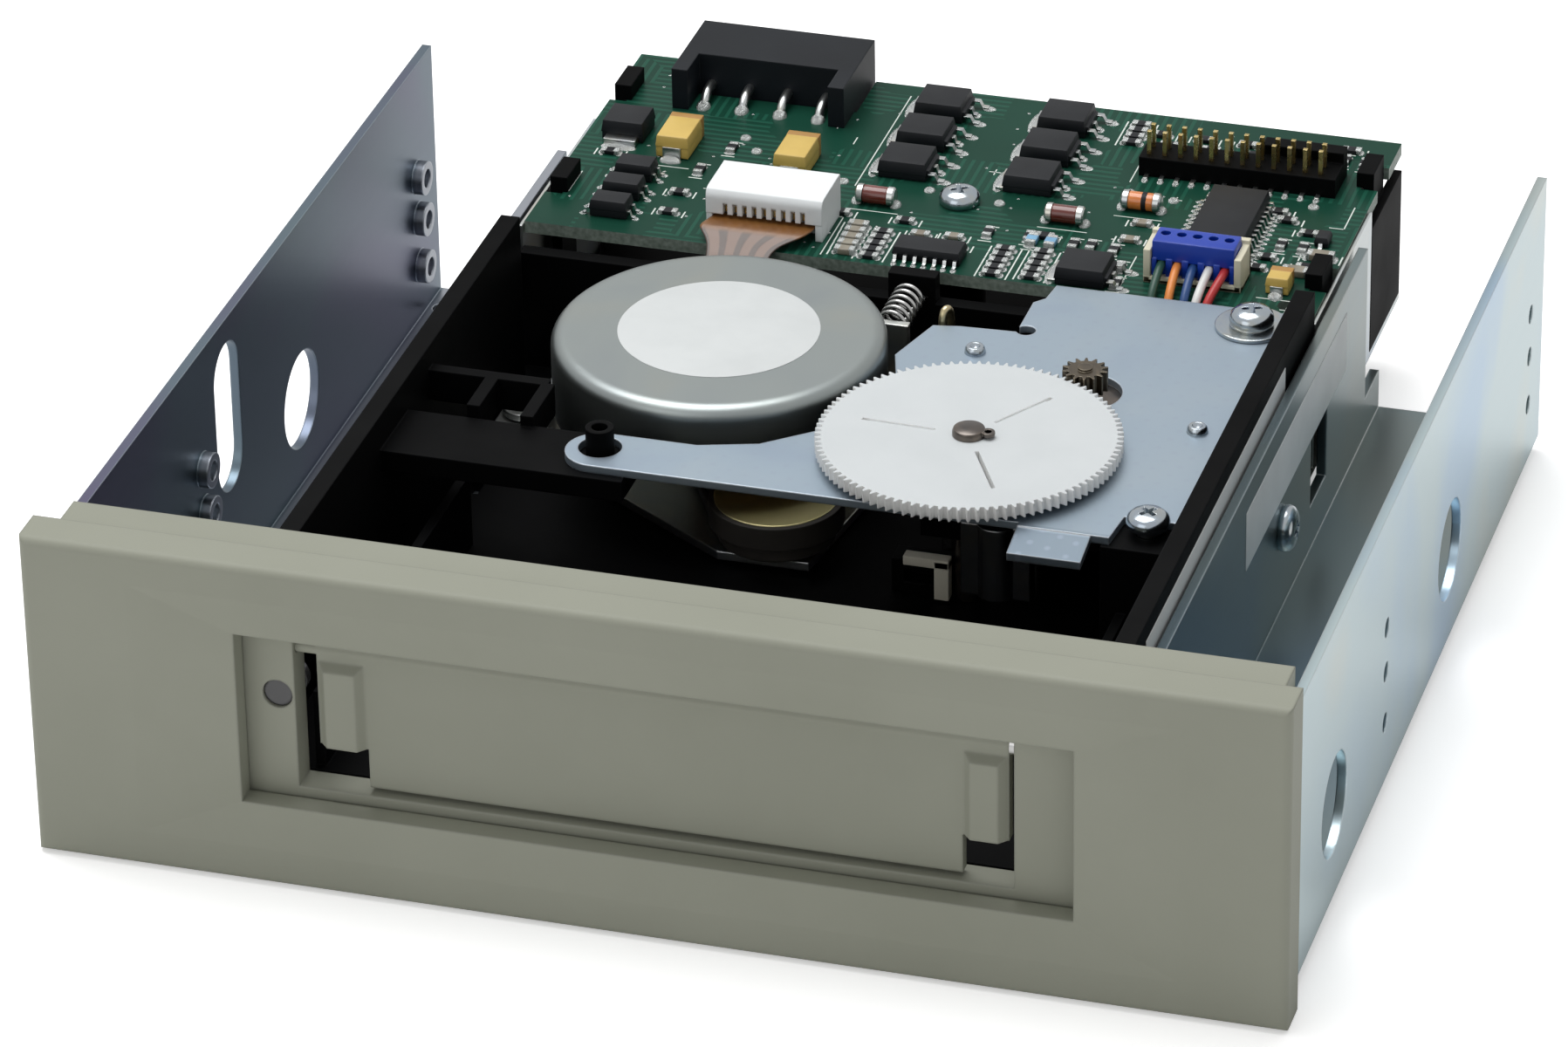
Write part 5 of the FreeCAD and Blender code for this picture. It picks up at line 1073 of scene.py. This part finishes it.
# --- lead-screw wheel
# Machined white nylon with 102 fine teeth.  Three sawn slots make its hub springy, and
# a bronze collar with a circlip holds it on the screw.
nylon_skin = moulded(
    "wheel_nylon", (0.60, 0.63, 0.64), (0.57, 0.60, 0.61), (0.68, 0.70, 0.70), 0.5, grain=0.6,
    depth=0.012, width=0.12, wear_and_highlight=0.2, mottle=8.0, Subsurface_Weight=0.6,
    Subsurface_Radius=(0.003, 0.003, 0.003))
# light soaks through the thin rim, so the teeth's flanks look paler than their depth allows
tint(nylon_skin, lambda tree: fit(tree, use_group(tree, level_group)["Level"], 0.7, 0.2),
     (0.93, 0.94, 0.93))
dress(nylon_skin, "lead_screw_gear")
dark_bronze = plated(
    "dark_bronze", (0.13, 0.115, 0.105), (0.10, 0.092, 0.088), (0.18, 0.150, 0.125), 0.26,
    cloud=2.5, streaks=0.2, width=0.12, edge=(0.45, 0.40, 0.35))
dress(dark_bronze, "lead_screw", "e_clip")
low, high = span("lead_screw_gear")
hub_x, hub_y = (low.x + high.x) / 2, (low.y + high.y) / 2
# a web just under the face closes two of the three slots to faint grooves
start, sweep = math.radians(-46), math.radians(332)
outline = [(12.5, start + sweep * i / 40) for i in range(41)]
outline += [(2.6, start + sweep), (2.6, start)]
web = prism([[(hub_x + radius * math.cos(angle), hub_y + radius * math.sin(angle), high.z + drop)
              for radius, angle in outline] for drop in (-0.22, -0.7)])
add_piece("wheel_web", web, nylon_skin, body="gear", slot="white_plastic")
collar = bmesh.new()
turn_profile(collar, [(0, 1.05), (1.5, 1.05), (1.85, 0.9), (2.0, 0.55), (2.0, 0.0)],
             at(hub_x, hub_y, high.z), steps=40)
turn_profile(collar, [(0.45, -0.25), (0.8, -0.25), (0.85, 0.0), (0.8, 0.25), (0.45, 0.25),
                      (0.42, 0.0), (0.45, -0.25)],
             at(hub_x + 2.35, hub_y - 0.1, high.z + 0.55), steps=24)
add_piece("circlip_collar", collar, dark_bronze, "e_clip", body="gear", slot="bronze")

# --- stepper pinion and motor
# Sintered bronze pinion with 14 teeth, pressed on the stepper's spindle.  The stepper is
# a dark can under the plate.
sinter = plated(
    "sintered_bronze", (0.125, 0.105, 0.080), (0.095, 0.082, 0.066), (0.185, 0.150, 0.105), 0.3,
    cloud=1.8, streaks=0.2, width=0.15, edge=(0.40, 0.36, 0.28))
dress(sinter, "stepper_pinion")
dress(dark_bronze, "stepper_motor")

# --- head, rods, lever and switch
# Ground head core on a black carriage between two steel rods.  A cream lever, pushed by
# the cartridge, works the black switch.
dress(chassis_black, "head_carriage", "sensing_switch")
dress(spring_steel, "guide_rods")
head_skin = plated(
    "ground_head", (0.40, 0.41, 0.43), (0.34, 0.36, 0.42), (0.46, 0.44, 0.40), 0.2, cloud=4.0,
    streaks=0.3)
dress(head_skin, "magnetic_head")
lever_cream = moulded(
    "lever_cream", (0.84, 0.80, 0.68), (0.78, 0.74, 0.62), (0.88, 0.85, 0.74), 0.5, grain=0.4,
    depth=0.01, width=0.2)
low, high = span("sensing_lever")
front, back = low.y + 2.0, low.y + 3.6
add_piece("cream_lever", blocks_of(
    ((low.x, front, high.z - 1.2), (high.x, back, high.z)),
    ((high.x - 1.8, front, low.z), (high.x, back, high.z - 0.2)), bevel=0.12),
    lever_cream, "sensing_lever", body="lever", slot="cream_plastic")

# --- gathered solder and print
# The solder of the whole board is one piece, and so is its white print: corner brackets,
# crosses, a scatter of plated holes and a few larger round pads.
for points in (
        ((-47.5, 120.0), (-47.5, 125.6)), ((-12.2, 111.7), (-12.2, 121.9), (-14.4, 121.9)),
        ((19.8, 140.4), (19.8, 147.6), (21.0, 147.6)), ((48.6, 140.6), (48.6, 134.6),
        (46.8, 134.6)), ((-12.6, 124.4), (-6.0, 124.4)), ((11.8, 125.6), (18.0, 125.6)),
        ((20.2, 131.0), (26.2, 131.0)), ((25.6, 111.6), (25.6, 121.0)), ((42.4, 114.4),
        (47.0, 114.4)), ((-40.4, 129.6), (-34.8, 129.6)), ((-24.6, 128.4), (-19.0, 128.4)),
        ((-13.2, 130.6), (-13.2, 156.4)), ((-16.6, 141.6), (-16.6, 143.4)), ((28.4, 121.9),
        (28.4, 123.2))):
    printed_line(points)
for x, y in ((26.6, 137.0), (46.6, 112.0), (-30.6, 125.0), (2.8, 138.6), (-19.8, 146.0)):
    printed_line([(x - 0.7, y), (x + 0.7, y)])
    printed_line([(x, y - 0.7), (x, y + 0.7)])
scatter = random.Random(7)
for i in range(90):
    x, y = scatter.uniform(-47, 47), scatter.uniform(112, 156.5)
    solder_blob(x, y, 0.4, 0.4, 0.04)
for x, y in ((-30.2, 139.6), (-27.8, 136.4), (26.4, 136.6), (30.8, 139.6), (20.6, 137.4),
             (27.4, 127.0), (43.6, 139.4), (-14.9, 131.2), (5.6, 130.4), (-3.8, 131.6)):
    solder_blob(x, y, 1.5, 1.5, 0.5)
add_piece("board_solder", solder_shape, solder, slot="pin_metal")
print_ink = moulded(
    "print_ink", (0.72, 0.76, 0.72), (0.60, 0.66, 0.61), (0.8, 0.8, 0.8), 0.6, grain=0.2,
    depth=0.004, mottle=2.0)
add_piece("board_print", print_shape, print_ink, slot="white_plastic", smooth=False)

scene.frame_set(1)
